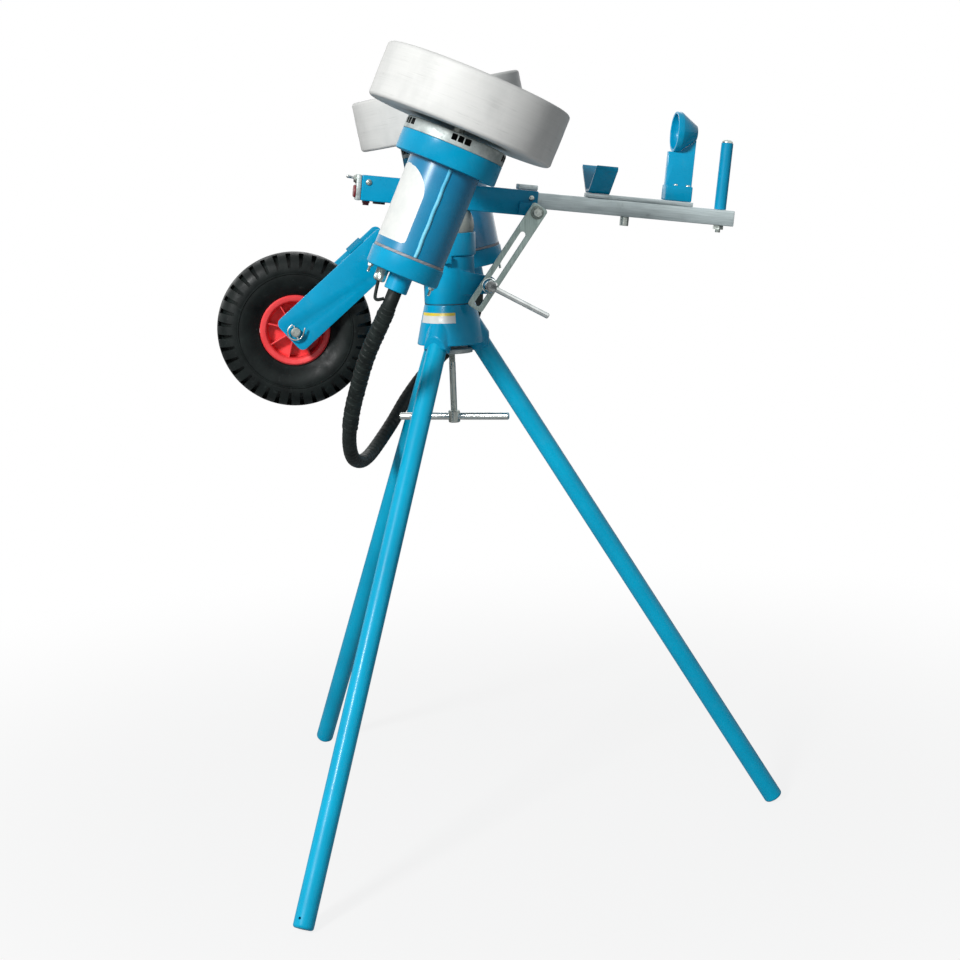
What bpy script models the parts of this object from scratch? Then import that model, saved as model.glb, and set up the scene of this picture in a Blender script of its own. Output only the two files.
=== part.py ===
"""Football throwing machine: two inclined motor-driven wheels on a pitched beam over a tripod.

Metres, +Z up. The origin is on the floor under the tripod's axis. The beam lies along X,
with the feeding tray toward +X, and throws toward -X.
"""

import math

import bmesh
import bpy
from mathutils import Matrix, Vector

# Fits
GAP = 0.0003
SLIDE_GAP = 0.0008

# Tripod
LEG_R = 0.015875
LEG_WALL = 0.002
LEG_EDGE = 0.0045
LEG_PLUG = 0.030
LEG_HOLE_R = 0.0022
LEG_HOLE_UP = 0.014
FOOT_FLAT = 0.001
FOOT_REACH = 0.5264
LEG_TOP_REACH = 0.0459
LEG_TOP_Z = 0.8143
LEG_INSERT = 0.034
LEG_AZIMUTHS = {"leg_right": -4.3, "leg_front": -124.3, "leg_rear": 115.7}

# Cast cone that the legs plug into
CONE_TOP_Z = 0.8775
CONE_TOP_R = 0.0415
CONE_HEIGHT = 0.0655
CONE_BELLY_R = 0.0520
CONE_LIMIT_R = 0.0620
LOBE_WALL = 0.0055
LOBE_END = 0.012

# Clamp screw with its T bar
ROD_R = 0.0053
T_BAR_R = 0.0060
T_BAR_LENGTH = 0.184
T_BAR_Z = 0.6910
T_BAR_AZIMUTH = -20.0
T_HUB_R = 0.0095
T_HUB_HEIGHT = 0.020
DISC_R = 0.0360
DISC_HUB_R = 0.0140
DISC_THICK = 0.008
DISC_DROP = 0.007

# Swivel housing and ball cup
HOUSING_R = 0.0415
HOUSING_HEIGHT = 0.0770
CUP_R = 0.0450
CUP_HEIGHT = 0.0365
BALL_R = 0.0434
BALL_Z = 1.0031
BALL_CLEAR = 0.0010

# Elevation lock
EAR_REACH_X = 0.0586
EAR_Z = 0.9070
EAR_END_R = 0.0145
EAR_THICK = 0.010
EAR_FACE_Y = -0.0390
EAR_BOSS_R = 0.0105
STUD_R = 0.0044
LINK_Y = -0.0525
LINK_THICK = 0.0056
LINK_WIDTH = 0.0276
LINK_CORNER = 0.008
LINK_TOP = 0.0117
LINK_BOTTOM = 0.1830
SLOT_FIRST = 0.0424
SLOT_LAST = 0.1724
SLOT_R = 0.0052
PIVOT_X = 0.1397
PIVOT_Z = 1.0199
PIVOT_R = 0.0048
WASHER_R = 0.01075
WASHER_THICK = 0.0016
HEX_R = 0.0085
HEX_THICK = 0.0060
BRACKET_R = 0.0085
PAD_THICK = 0.006
LEVER_HUB_R = 0.0125
LEVER_HUB_LENGTH = 0.0215
LEVER_ROD_R = 0.0044
LEVER_LENGTH = 0.106
LEVER_DROP = 29.5

# Head
HEAD_PITCH = 7.4
BEAM_LEFT = -0.1444
BEAM_RIGHT = 0.1410
BEAM_LOW = 0.0273
BEAM_HIGH = 0.0680
BEAM_WIDTH = 0.0444
BEAM_WALL = 0.002
TRAY_WIDTH = 0.038
TRAY_HEIGHT = 0.0254
TRAY_WALL = 0.0025
TRAY_LEFT = 0.060
TRAY_RIGHT = 0.4680

# Feeding carriage
CARRIAGE_TRAVEL = 0.080
PLATE_LEFT = 0.222
PLATE_RIGHT = 0.397
PLATE_THICK = 0.0068
PLATE_WIDTH = 0.0360
STUD_X = 0.2895
GUIDE_R = 0.0040
SLEEVE_R = 0.00725
SLEEVE_DROP = 0.015
CRADLE_LENGTH = 0.035
CRADLE_THICK = 0.005
CRADLE_FLAT = 0.012
CRADLE_REACH = 0.066
CRADLE_RISE = 0.040
POST_X = 0.350
POST_LENGTH = 0.044
POST_THICK = 0.012
POST_FOOT_HEIGHT = 0.025
POST_FOOT_WIDTH = 0.034
PUSHER_Z = 0.184
PUSHER_X = 0.357
PUSHER_R = 0.0325
PUSHER_LIP = 0.009
PUSHER_DEPTH = 0.037
PUSHER_APEX_R = 0.012
PUSHER_WALL = 0.004

# Aiming handle at the end of the tray
HANDLE_X = 0.447
HANDLE_R = 0.00975
HANDLE_LENGTH = 0.108
HANDLE_BOLT_R = 0.0042
HANDLE_HEAD_R = 0.00885
HANDLE_HEAD_HEIGHT = 0.0055
NUT_R = 0.0088
NUT_THICK = 0.0065
BOLT_TAIL = 0.0050

# Control panel and small fittings of the beam
PANEL_THICK = 0.0077
TOGGLE_R = 0.0030
TOGGLE_LENGTH = 0.0180
TOGGLE_Z = 0.0605
TOGGLE_TILT = 10.0
DIAL_R = 0.0100
DIAL_THICK = 0.0030
DIAL_Y = 0.0108
DIAL_Z = 0.0410
STOP_LENGTH = 0.0320
STOP_HEIGHT = 0.0090
STOP_WIDTH = 0.0300

# Throwing wheels and their motors
WHEEL_X = -0.0066
WHEEL_Y = 0.222
WHEEL_Z = 0.186
WHEEL_TWIST = 17.0
WHEEL_R = 0.146
WHEEL_WIDTH = 0.084
WHEEL_SHOULDER = 0.022
HUB_R = 0.055
HUB_WIDTH = 0.062
HUB_WEB = 0.010
HUB_CORE_R = 0.020
HUB_HOLES = 4
HUB_HOLE_R = 0.0085
SHAFT_R = 0.008
ARMATURE_R = 0.036
ARMATURE_TOP = 0.108
ARMATURE_LENGTH = 0.100
SHAFT_END = 0.256
BELL_TOP = 0.047
BELL_THICK = 0.019
BELL_R = 0.0795
BELL_SLOTS = 10
SLOT_DEEP = 0.006
RING_THICK = 0.0317
RING_BORE_R = 0.0615
MOTOR_R = 0.055
MOTOR_WALL = 0.004
MOTOR_BOTTOM = 0.2425
GASKET_THICK = 0.0040
GASKET_R = 0.0555
CAP_R = 0.0570
CAP_THICK = 0.0250
BOSS_R = 0.0180
BOSS_LENGTH = 0.0255
GLAND_REACH = 0.0266
GLAND_R = 0.00725
GLAND_LENGTH = 0.0210
LEAD_R = 0.00225
ARM_WIDTH = 0.036
ARM_HEIGHT = 0.024
ARM_Z = 0.0955
SADDLE_LOW_X = -0.052
SADDLE_HIGH_X = 0.040

# Transport wheel and its fork
AXLE_X = -0.254
AXLE_Z = 0.847
AXLE_R = 0.0075
AXLE_OUT = 0.0140
TYRE_R = 0.1245
TYRE_WIDTH = 0.080
RIM_R = 0.05625
RIM_BAND = 0.011
RIM_WIDTH = 0.052
RIM_HUB_R = 0.016
RIM_RIBS = 8
RIB_THICK = 0.003
LUGS = 36
LUG_DEPTH = 0.0045
LUG_GROOVE = 0.0060
LUG_INNER_R = 0.095
LUG_OUTER_Z = 0.012
LUG_BULGE = 0.0097
LUG_CUT = 0.020
FORK_Y = 0.050
FORK_THICK = 0.005
FORK_WIDTH = 0.0626
FORK_CORNER = 0.008
FORK_LENGTH = 0.212
FORK_ANGLE = 40.2
FORK_BEYOND = 0.0145
STEM_Z = 0.944
STEM_R = 0.0105
CROSS_X = -0.078
CROSS_R = 0.0140
FORK_BOLT_R = 0.0042
FORK_HEX_R = 0.0080
BRIDGE_LENGTH = 0.028
BRIDGE_THICK = 0.005
BRIDGE_FROM_END = 0.036

# Wiring hose, hung between the two motors
HOSE_R = 0.0135
HOSE_LOW_R = 0.0118
SLEEVE_HOSE_R = 0.0110
HOSE_PITCH = 0.0110
HOSE_RIB_RISE = 0.0025
SLEEVE_NEAR = 0.034
SLEEVE_FAR = 0.040

WHITE_TYRE = (225, 225, 222)
SKY_BLUE = (0, 150, 196)
CAST_GREY = (112, 126, 126)
SILVER = (168, 184, 186)
STEEL = (150, 156, 158)
BLACK = (30, 33, 35)
RUBBER = (34, 38, 41)
RED = (225, 60, 68)
DARK_RED = (120, 28, 34)


def linear(colour):
    """Screen colour from 0 to 255 as the linear colour that a shader takes."""
    shares = [channel / 255 for channel in colour]
    return [s / 12.92 if s <= 0.04045 else ((s + 0.055) / 1.055) ** 2.4 for s in shares] + [1.0]


def finish(name, colour, roughness, metallic):
    """One material, shared by every piece of that finish."""
    material = bpy.data.materials.new(name)
    material.use_nodes = True
    shader = material.node_tree.nodes["Principled BSDF"]
    shader.inputs["Base Color"].default_value = linear(colour)
    shader.inputs["Roughness"].default_value = roughness
    shader.inputs["Metallic"].default_value = metallic
    material.diffuse_color = linear(colour)
    return material


for old in list(bpy.data.objects):
    bpy.data.objects.remove(old, do_unlink=True)

machine = bpy.data.collections.new("football_throwing_machine")
cutters = bpy.data.collections.new("cutters")
bpy.context.scene.collection.children.link(machine)
bpy.context.scene.collection.children.link(cutters)

blue_paint = finish("blue_paint", SKY_BLUE, 0.35, 0.0)
grey_cast = finish("grey_casting", CAST_GREY, 0.5, 0.7)
silver_bar = finish("aluminium_bar", SILVER, 0.35, 0.9)
bright_steel = finish("bright_steel", STEEL, 0.25, 1.0)
black_plastic = finish("black_plastic", BLACK, 0.5, 0.0)
black_rubber = finish("black_rubber", RUBBER, 0.75, 0.0)
white_rubber = finish("white_rubber", WHITE_TYRE, 0.6, 0.0)
red_plastic = finish("red_rim", RED, 0.4, 0.0)
dark_red = finish("dark_red_plastic", DARK_RED, 0.45, 0.0)


def add(name, mesh, material, parent, role="piece"):
    """Link a mesh as a piece of the machine, or as a cutter or filler that only shapes a piece."""
    thing = bpy.data.objects.new(name, mesh)
    (machine if role == "piece" else cutters).objects.link(thing)
    thing.parent = parent
    if role == "piece":
        mesh.materials.append(material)
    else:
        thing.hide_render = True
        thing.display_type = "WIRE"
    return thing


def frame(name, parent=None, at=(0, 0, 0), turn=(0, 0, 0)):
    """An empty that carries pieces, turned by degrees about X, Y and Z."""
    empty = bpy.data.objects.new(name, None)
    machine.objects.link(empty)
    empty.parent = parent
    empty.location = at
    empty.rotation_euler = [math.radians(a) for a in turn]
    return empty


def smooth(mesh, angle=35):
    """Shade round faces smooth and keep the real edges sharp."""
    mesh.shade_smooth()
    mesh.set_sharp_from_angle(angle=math.radians(angle))


def box(name, low, high, material=None, parent=None, role="piece", edge=0.0):
    """A block between two corners, with its edges rounded by a bevel."""
    mesh = bpy.data.meshes.new(name)
    shape = bmesh.new()
    bmesh.ops.create_cube(shape, size=1.0)
    sizes = [b - a for a, b in zip(low, high)]
    middle = [(a + b) / 2 for a, b in zip(low, high)]
    bmesh.ops.scale(shape, vec=sizes, verts=shape.verts)
    bmesh.ops.translate(shape, vec=middle, verts=shape.verts)
    shape.to_mesh(mesh)
    shape.free()
    thing = add(name, mesh, material, parent, role)
    if edge > 0:
        bevel = thing.modifiers.new("edges", "BEVEL")
        bevel.width = edge
        bevel.segments = 1
    return thing


def rod(name, start, end, radius, material=None, parent=None, role="piece", sides=20, edge=0.0):
    """A round bar from one point to another."""
    mesh = bpy.data.meshes.new(name)
    run = Vector(end) - Vector(start)
    turn = run.to_track_quat("Z", "Y").to_matrix().to_4x4()
    shape = bmesh.new()
    bmesh.ops.create_cone(
        shape, cap_ends=True, segments=sides, radius1=radius, radius2=radius, depth=run.length,
        matrix=Matrix.Translation((Vector(start) + Vector(end)) / 2) @ turn,
    )
    shape.to_mesh(mesh)
    shape.free()
    smooth(mesh)
    thing = add(name, mesh, material, parent, role)
    if edge > 0:
        bevel = thing.modifiers.new("edges", "BEVEL")
        bevel.width = edge
        bevel.segments = 1
        bevel.limit_method = "ANGLE"
        bevel.angle_limit = math.radians(50)
    return thing


def turned(name, profile, material=None, parent=None, role="piece", sides=24, closed=False):
    """A lathe piece about its frame's Z. The profile runs down its outer side."""
    mesh = bpy.data.meshes.new(name)
    count = len(profile)
    edges = [(i, i + 1) for i in range(count - 1)]
    if closed:
        edges.append((count - 1, 0))
    mesh.from_pydata([(r, 0, z) for r, z in profile], edges, [])
    thing = add(name, mesh, material, parent, role)
    screw = thing.modifiers.new("turn", "SCREW")
    screw.axis = "Z"
    screw.angle = math.tau
    screw.steps = sides
    screw.render_steps = sides
    screw.use_merge_vertices = True
    screw.merge_threshold = 0.00001
    screw.use_smooth_shade = False
    return thing


def arc(centre, radius, start, end, steps):
    """Points along an arc, in degrees."""
    angles = [math.radians(start + (end - start) * i / steps) for i in range(steps + 1)]
    return [(centre[0] + radius * math.cos(a), centre[1] + radius * math.sin(a)) for a in angles]


def rounded(low, high, radius, steps=4):
    """A rectangle with round corners, anticlockwise."""
    (x0, y0), (x1, y1) = low, high
    r = radius
    return (
        arc((x1 - r, y1 - r), r, 0, 90, steps) + arc((x0 + r, y1 - r), r, 90, 180, steps)
        + arc((x0 + r, y0 + r), r, 180, 270, steps) + arc((x1 - r, y0 + r), r, 270, 360, steps)
    )


def plate(name, outlines, thickness, material=None, parent=None, role="piece", turn=(0, 0, 0), at=(0, 0, 0)):
    """A flat plate in its own XY plane, from an outline and the outlines of its holes."""
    curve = bpy.data.curves.new(name, "CURVE")
    curve.dimensions = "2D"
    curve.fill_mode = "BOTH"
    curve.extrude = thickness / 2
    for outline in outlines:
        spline = curve.splines.new("POLY")
        spline.points.add(len(outline) - 1)
        for point, (x, y) in zip(spline.points, outline):
            point.co = (x, y, 0, 1)
        spline.use_cyclic_u = True
    drawn = bpy.data.objects.new(name, curve)
    machine.objects.link(drawn)
    mesh = made_mesh(drawn)
    thing = add(name, mesh, material, parent, role)
    thing.location = at
    thing.rotation_euler = [math.radians(a) for a in turn]
    return thing


def made_mesh(drawn):
    """The welded mesh of a curve object, which is removed."""
    mesh = bpy.data.meshes.new_from_object(drawn.evaluated_get(bpy.context.evaluated_depsgraph_get()))
    shape = bmesh.new()
    shape.from_mesh(mesh)
    bmesh.ops.remove_doubles(shape, verts=shape.verts, dist=0.00001)
    bmesh.ops.recalc_face_normals(shape, faces=shape.faces)
    shape.to_mesh(mesh)
    shape.free()
    mesh.materials.clear()
    bpy.data.objects.remove(drawn, do_unlink=True)
    return mesh


def tube(name, points, radius, material, parent=None, scales=None, resolution=2):
    """A round cable or hose through points in its parent's frame."""
    curve = bpy.data.curves.new(name, "CURVE")
    curve.dimensions = "3D"
    curve.bevel_depth = radius
    curve.bevel_resolution = resolution
    curve.use_fill_caps = True
    spline = curve.splines.new("POLY")
    spline.points.add(len(points) - 1)
    for i, point in enumerate(points):
        spline.points[i].co = (*point, 1)
        spline.points[i].radius = scales[i] if scales else 1.0
    drawn = bpy.data.objects.new(name, curve)
    machine.objects.link(drawn)
    mesh = made_mesh(drawn)
    smooth(mesh, 60)
    return add(name, mesh, material, parent)


def apply_shape(thing, tool, operation):
    boolean = thing.modifiers.new(tool.name, "BOOLEAN")
    boolean.operation = operation
    boolean.solver = "EXACT"
    boolean.object = tool
    return thing


def cut(thing, *tools):
    for tool in tools:
        apply_shape(thing, tool, "DIFFERENCE")
    return thing


def fuse(thing, *tools):
    for tool in tools:
        apply_shape(thing, tool, "UNION")
    return thing


def make_tripod(stand):
    """Three tubes in a cast cone. Each tube's end is closed and stands on a small flat."""
    tilt = math.atan((FOOT_REACH - LEG_TOP_REACH) / LEG_TOP_Z)
    foot_z = (LEG_R - LEG_EDGE) * math.sin(tilt) + LEG_EDGE * (1 - math.cos(tilt)) - FOOT_FLAT
    tilt = math.atan((FOOT_REACH - LEG_TOP_REACH) / (LEG_TOP_Z - foot_z))
    to_cone = (LEG_TOP_Z - foot_z) / math.cos(tilt)
    length = to_cone + LEG_INSERT
    bore = LEG_R - LEG_WALL
    floor_cut = box("floor_cut", (-1, -1, -0.1), (1, 1, 0), parent=stand, role="cutter")
    cone_z = CONE_TOP_Z - CONE_HEIGHT
    cone = turned(
        "tripod_cone",
        [(0, CONE_TOP_Z), (CONE_TOP_R, CONE_TOP_Z)]
        + [(CONE_TOP_R + (CONE_BELLY_R - CONE_TOP_R) * math.sin(math.radians(a)),
            CONE_TOP_Z - CONE_HEIGHT * a / 90) for a in range(30, 91, 30)]
        + [(0, cone_z)],
        blue_paint, stand,
    )
    limit = turned(
        "cone_limit",
        [(0, CONE_TOP_Z), (CONE_TOP_R, CONE_TOP_Z), (CONE_LIMIT_R, CONE_TOP_Z - CONE_HEIGHT * 0.62),
         (CONE_LIMIT_R, cone_z - LOBE_END), (0, cone_z - LOBE_END)],
        parent=stand, role="cutter",
    )
    disc = turned(
        "base_disc",
        [(ROD_R + SLIDE_GAP, cone_z - GAP), (DISC_HUB_R, cone_z - GAP), (DISC_HUB_R, cone_z - DISC_DROP),
         (DISC_R, cone_z - DISC_DROP),
         (DISC_R, cone_z - DISC_DROP - DISC_THICK),
         (ROD_R + SLIDE_GAP, cone_z - DISC_DROP - DISC_THICK)],
        grey_cast, stand, closed=True, sides=28,
    )
    sockets = []
    scallops = []
    lobes = []
    for name, azimuth in LEG_AZIMUTHS.items():
        angle = math.radians(azimuth)
        foot = (FOOT_REACH * math.cos(angle), FOOT_REACH * math.sin(angle), foot_z)
        leg_frame = frame(name + "_line", stand, foot, (0, -math.degrees(tilt), azimuth))
        leg = turned(
            name,
            [(0, LEG_PLUG), (bore, LEG_PLUG), (bore, length), (LEG_R, length)]
            + [(x, z) for x, z in arc((LEG_R - LEG_EDGE, LEG_EDGE), LEG_EDGE, 0, -90, 3)]
            + [(0, 0)],
            blue_paint, leg_frame, sides=16,
        )
        hole = rod(name + "_hole", (0, 0, LEG_HOLE_UP), (LEG_R * 2, 0, LEG_HOLE_UP), LEG_HOLE_R,
                   parent=leg_frame, role="cutter", sides=12)
        cut(leg, floor_cut, hole)
        lobes.append(rod(name + "_lobe", (0, 0, to_cone - LOBE_END), (0, 0, length + LEG_R),
                         LEG_R + LOBE_WALL, parent=leg_frame, role="filler", sides=18))
        sockets.append(rod(name + "_socket", (0, 0, to_cone - 2 * LEG_INSERT), (0, 0, length + GAP),
                           LEG_R + 2 * GAP, parent=leg_frame, role="cutter", sides=20))
        scallops.append(rod(name + "_scallop", (0, 0, to_cone - 2 * LEG_INSERT), (0, 0, length),
                            LEG_R + LOBE_WALL + 3 * GAP, parent=leg_frame, role="cutter", sides=20))
    fuse(cone, *lobes)
    apply_shape(cone, limit, "INTERSECT")
    cut(cone, *sockets)
    cut(cone, rod("screw_way", (0, 0, cone_z - 0.05), (0, 0, CONE_TOP_Z + 0.01), ROD_R + SLIDE_GAP,
                  parent=stand, role="cutter", sides=20))
    cut(disc, *scallops)


def make_clamp_screw(stand):
    """The screw under the cone, turned by its T bar."""
    turning = frame("t_handle_axis", stand, (0, 0, T_BAR_Z), (0, 0, T_BAR_AZIMUTH))
    top = CONE_TOP_Z - T_BAR_Z - 0.010
    screw = turned(
        "clamp_rod",
        [(0, top), (ROD_R - 0.001, top), (ROD_R, top - 0.001), (ROD_R, T_HUB_HEIGHT / 2),
         (T_HUB_R, T_HUB_HEIGHT / 2), (T_HUB_R, -T_HUB_HEIGHT / 2), (0, -T_HUB_HEIGHT / 2)],
        bright_steel, turning, sides=16,
    )
    cut(screw, rod("t_bar_way", (-0.02, 0, 0), (0.02, 0, 0), T_BAR_R + GAP, parent=turning,
                   role="cutter", sides=16))
    half = T_BAR_LENGTH / 2
    rod("t_bar", (-half, 0, 0), (half, 0, 0), T_BAR_R, bright_steel, turning, sides=16, edge=0.0015)


def make_swivel(turning):
    """Housing over the cone, with the cup of the ball, the ear of the elevation stud and the stem."""
    low = CONE_TOP_Z + GAP
    high = low + HOUSING_HEIGHT
    housing = turned(
        "swivel_housing",
        [(0, high), (HOUSING_R, high), (HOUSING_R, low), (0, low)],
        blue_paint, turning,
    )
    ear = plate(
        "ear_fill",
        [arc((EAR_REACH_X, EAR_Z), EAR_END_R, -90, 90, 6)
         + [(0.010, EAR_Z + EAR_END_R + 0.012), (0.010, EAR_Z - EAR_END_R)]],
        EAR_THICK, parent=turning, role="filler", turn=(90, 0, 0),
        at=(0, EAR_FACE_Y + EAR_THICK / 2, 0),
    )
    boss = rod("ear_boss", (EAR_REACH_X, EAR_FACE_Y + EAR_THICK / 2, EAR_Z),
               (EAR_REACH_X, LINK_Y + LINK_THICK / 2 + GAP, EAR_Z), EAR_BOSS_R,
               parent=turning, role="filler", sides=24)
    gusset = plate(
        "ear_gusset",
        [[(0.030, EAR_Z - EAR_END_R), (EAR_REACH_X + 0.004, EAR_Z - EAR_END_R * 0.5),
          (EAR_REACH_X + 0.004, EAR_Z + EAR_END_R * 0.2), (0.030, EAR_Z + EAR_END_R)]],
        EAR_THICK, parent=turning, role="filler", turn=(90, 0, 0), at=(0, -0.024, 0),
    )
    stem = rod("stem_fill", (0, 0, STEM_Z), (CROSS_X, 0, STEM_Z), STEM_R, parent=turning,
               role="filler", sides=24)
    inside = FORK_Y - FORK_THICK / 2 - GAP
    cross = rod("cross_tube_fill", (CROSS_X, -inside, STEM_Z), (CROSS_X, inside, STEM_Z), CROSS_R,
                parent=turning, role="filler", sides=32)
    fuse(housing, ear, boss, gusset, stem, cross)
    cut(
        housing,
        rod("stud_hole", (EAR_REACH_X, -0.1, EAR_Z), (EAR_REACH_X, EAR_FACE_Y + 0.008, EAR_Z),
            STUD_R + GAP, parent=turning, role="cutter", sides=16),
        rod("cross_bore", (CROSS_X, -0.1, STEM_Z), (CROSS_X, 0.1, STEM_Z), FORK_BOLT_R + GAP,
            parent=turning, role="cutter", sides=16),
    )
    rod("elevation_stud", (EAR_REACH_X, EAR_FACE_Y + 0.0077, EAR_Z),
        (EAR_REACH_X, LINK_Y - LINK_THICK / 2 - LEVER_HUB_LENGTH * 0.7, EAR_Z), STUD_R,
        bright_steel, turning, sides=16)

    cup_low = high + GAP
    cup_high = cup_low + CUP_HEIGHT
    seat_r = BALL_R + BALL_CLEAR
    rim = math.degrees(math.asin((cup_high - BALL_Z) / seat_r))
    cup = turned(
        "ball_cup",
        [(x, z) for x, z in arc((0, BALL_Z), seat_r, -90, rim, 5)]
        + [(CUP_R - 0.0008, cup_high), (CUP_R, cup_high - 0.0008), (CUP_R, cup_low), (0, cup_low)],
        blue_paint, turning,
    )
    lug = box("pinch_lug", (-0.0145, -CUP_R - 0.0085, high - 0.0105), (0, -HOUSING_R + 0.004, high + 0.0020),
              parent=turning, role="filler", edge=0.001)
    cut(lug, rod("pinch_clear", (0, 0, high - 0.05), (0, 0, high + GAP / 2), HOUSING_R + 2 * GAP,
                 parent=turning, role="cutter", sides=28))
    fuse(cup, lug)


def make_transport_fork(turning):
    """Two long plates from a cross tube behind the stem down to the carrying wheel's axle."""
    lean = -FORK_ANGLE
    axle = frame("fork_line", turning, (AXLE_X, 0, AXLE_Z), (0, lean, 0))
    half = FORK_WIDTH / 2
    inner = Matrix.Rotation(math.radians(lean), 3, "Y").inverted() @ Vector((CROSS_X - AXLE_X, 0, STEM_Z - AXLE_Z))
    for side, sign in (("near", -1), ("far", 1)):
        sheet = plate(
            "fork_plate_" + side,
            [rounded((-FORK_BEYOND, -half), (FORK_LENGTH, half), FORK_CORNER)],
            FORK_THICK, blue_paint, axle, turn=(90, 0, 0), at=(0, sign * FORK_Y, 0),
        )
        cut(sheet,
            rod("axle_hole_" + side, (0, sign * 0.03, 0), (0, sign * 0.07, 0), AXLE_R + GAP,
                parent=axle, role="cutter", sides=20),
            rod("bolt_hole_" + side, (inner.x, sign * 0.03, inner.z), (inner.x, sign * 0.07, inner.z),
                FORK_BOLT_R + GAP, parent=axle, role="cutter", sides=16))
    start = FORK_LENGTH - BRIDGE_FROM_END - BRIDGE_LENGTH
    inside = FORK_Y - FORK_THICK / 2 - GAP
    box("fork_bridge", (start, -inside, half - BRIDGE_THICK), (start + BRIDGE_LENGTH, inside, half),
        blue_paint, axle, edge=0.001)

    outside = FORK_Y + FORK_THICK / 2 + GAP
    bolt = rod("fork_bolt", (CROSS_X, -outside - HEX_THICK, STEM_Z), (CROSS_X, outside + HEX_THICK * 1.4, STEM_Z),
               FORK_BOLT_R, bright_steel, turning, sides=16)
    for side, sign in (("near", -1), ("far", 1)):
        fuse(bolt, rod("fork_hex_" + side, (CROSS_X, sign * outside, STEM_Z),
                       (CROSS_X, sign * (outside + HEX_THICK), STEM_Z), FORK_HEX_R,
                       parent=turning, role="filler", sides=6))

    reach = outside + AXLE_OUT
    pin = rod("wheel_axle", (AXLE_X, -reach, AXLE_Z), (AXLE_X, reach, AXLE_Z), AXLE_R, bright_steel,
              turning, sides=20, edge=0.001)
    clip_y = outside + AXLE_OUT * 0.5
    for side, sign in (("near", -1), ("far", 1)):
        cut(pin, rod("clip_hole_" + side, (AXLE_X, sign * clip_y, AXLE_Z - 0.02),
                     (AXLE_X, sign * clip_y, AXLE_Z + 0.02), 0.0018, parent=turning, role="cutter",
                     sides=10))


def make_transport_wheel(turning):
    """Lugged black tyre on a red rim with thin ribs."""
    spin = frame("transport_wheel_axis", turning, (AXLE_X, 0, AXLE_Z), (90, 0, 0))
    half = TYRE_WIDTH / 2
    tread = [
        (RIM_R + GAP, half * 0.62), (0.078, half * 0.95), (LUG_INNER_R, half),
        (0.112, half * 0.93), (0.1215, half * 0.62),
    ]
    profile = tread + [(TYRE_R, 0)] + [(r, -z) for r, z in reversed(tread)]
    tyre = turned("transport_tyre", profile, black_rubber, spin, closed=True, sides=36)
    mesh = bpy.data.meshes.new("lug_grooves")
    shape = bmesh.new()
    fall = math.atan2(half - LUG_OUTER_Z, TYRE_R - LUG_INNER_R)
    length = math.hypot(half - LUG_OUTER_Z, TYRE_R - LUG_INNER_R)
    out = LUG_BULGE - LUG_DEPTH + LUG_CUT / 2
    r = (LUG_INNER_R + TYRE_R) / 2 + out * math.sin(fall)
    z = (half + LUG_OUTER_Z) / 2 + out * math.cos(fall)
    for i in range(LUGS):
        turn = Matrix.Rotation(math.tau * (i + 0.25) / LUGS, 4, "Z")
        for side in (-1, 1):
            where = turn @ Matrix.Translation((r, 0, side * z)) @ Matrix.Rotation(side * fall, 4, "Y")
            size = Matrix.Diagonal((length, LUG_GROOVE, LUG_CUT, 1))
            bmesh.ops.create_cube(shape, size=1.0, matrix=where @ size)
    shape.to_mesh(mesh)
    shape.free()
    cut(tyre, add("lug_grooves", mesh, None, spin, "cutter"))

    band = RIM_R - RIM_BAND
    web = 0.004
    hub_end = FORK_Y - FORK_THICK / 2 - SLIDE_GAP
    rim_half = RIM_WIDTH / 2
    rim = turned(
        "transport_rim",
        [(AXLE_R + SLIDE_GAP, hub_end), (RIM_HUB_R, hub_end), (RIM_HUB_R, web),
         (band, web), (band, rim_half), (RIM_R, rim_half), (RIM_R, -rim_half), (band, -rim_half),
         (band, -web), (RIM_HUB_R, -web), (RIM_HUB_R, -hub_end),
         (AXLE_R + SLIDE_GAP, -hub_end)],
        red_plastic, spin, closed=True, sides=20,
    )
    mesh = bpy.data.meshes.new("rim_ribs")
    shape = bmesh.new()
    reach = (RIM_HUB_R + band) / 2
    for i in range(RIM_RIBS):
        turn = Matrix.Rotation(math.tau * i / RIM_RIBS, 4, "Z")
        size = Matrix.Diagonal((band - RIM_HUB_R + 0.004, RIB_THICK, RIM_WIDTH * 0.8, 1))
        bmesh.ops.create_cube(shape, size=1.0, matrix=turn @ Matrix.Translation((reach, 0, 0)) @ size)
    shape.to_mesh(mesh)
    shape.free()
    fuse(rim, add("rim_ribs", mesh, None, spin, "filler"))


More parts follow.
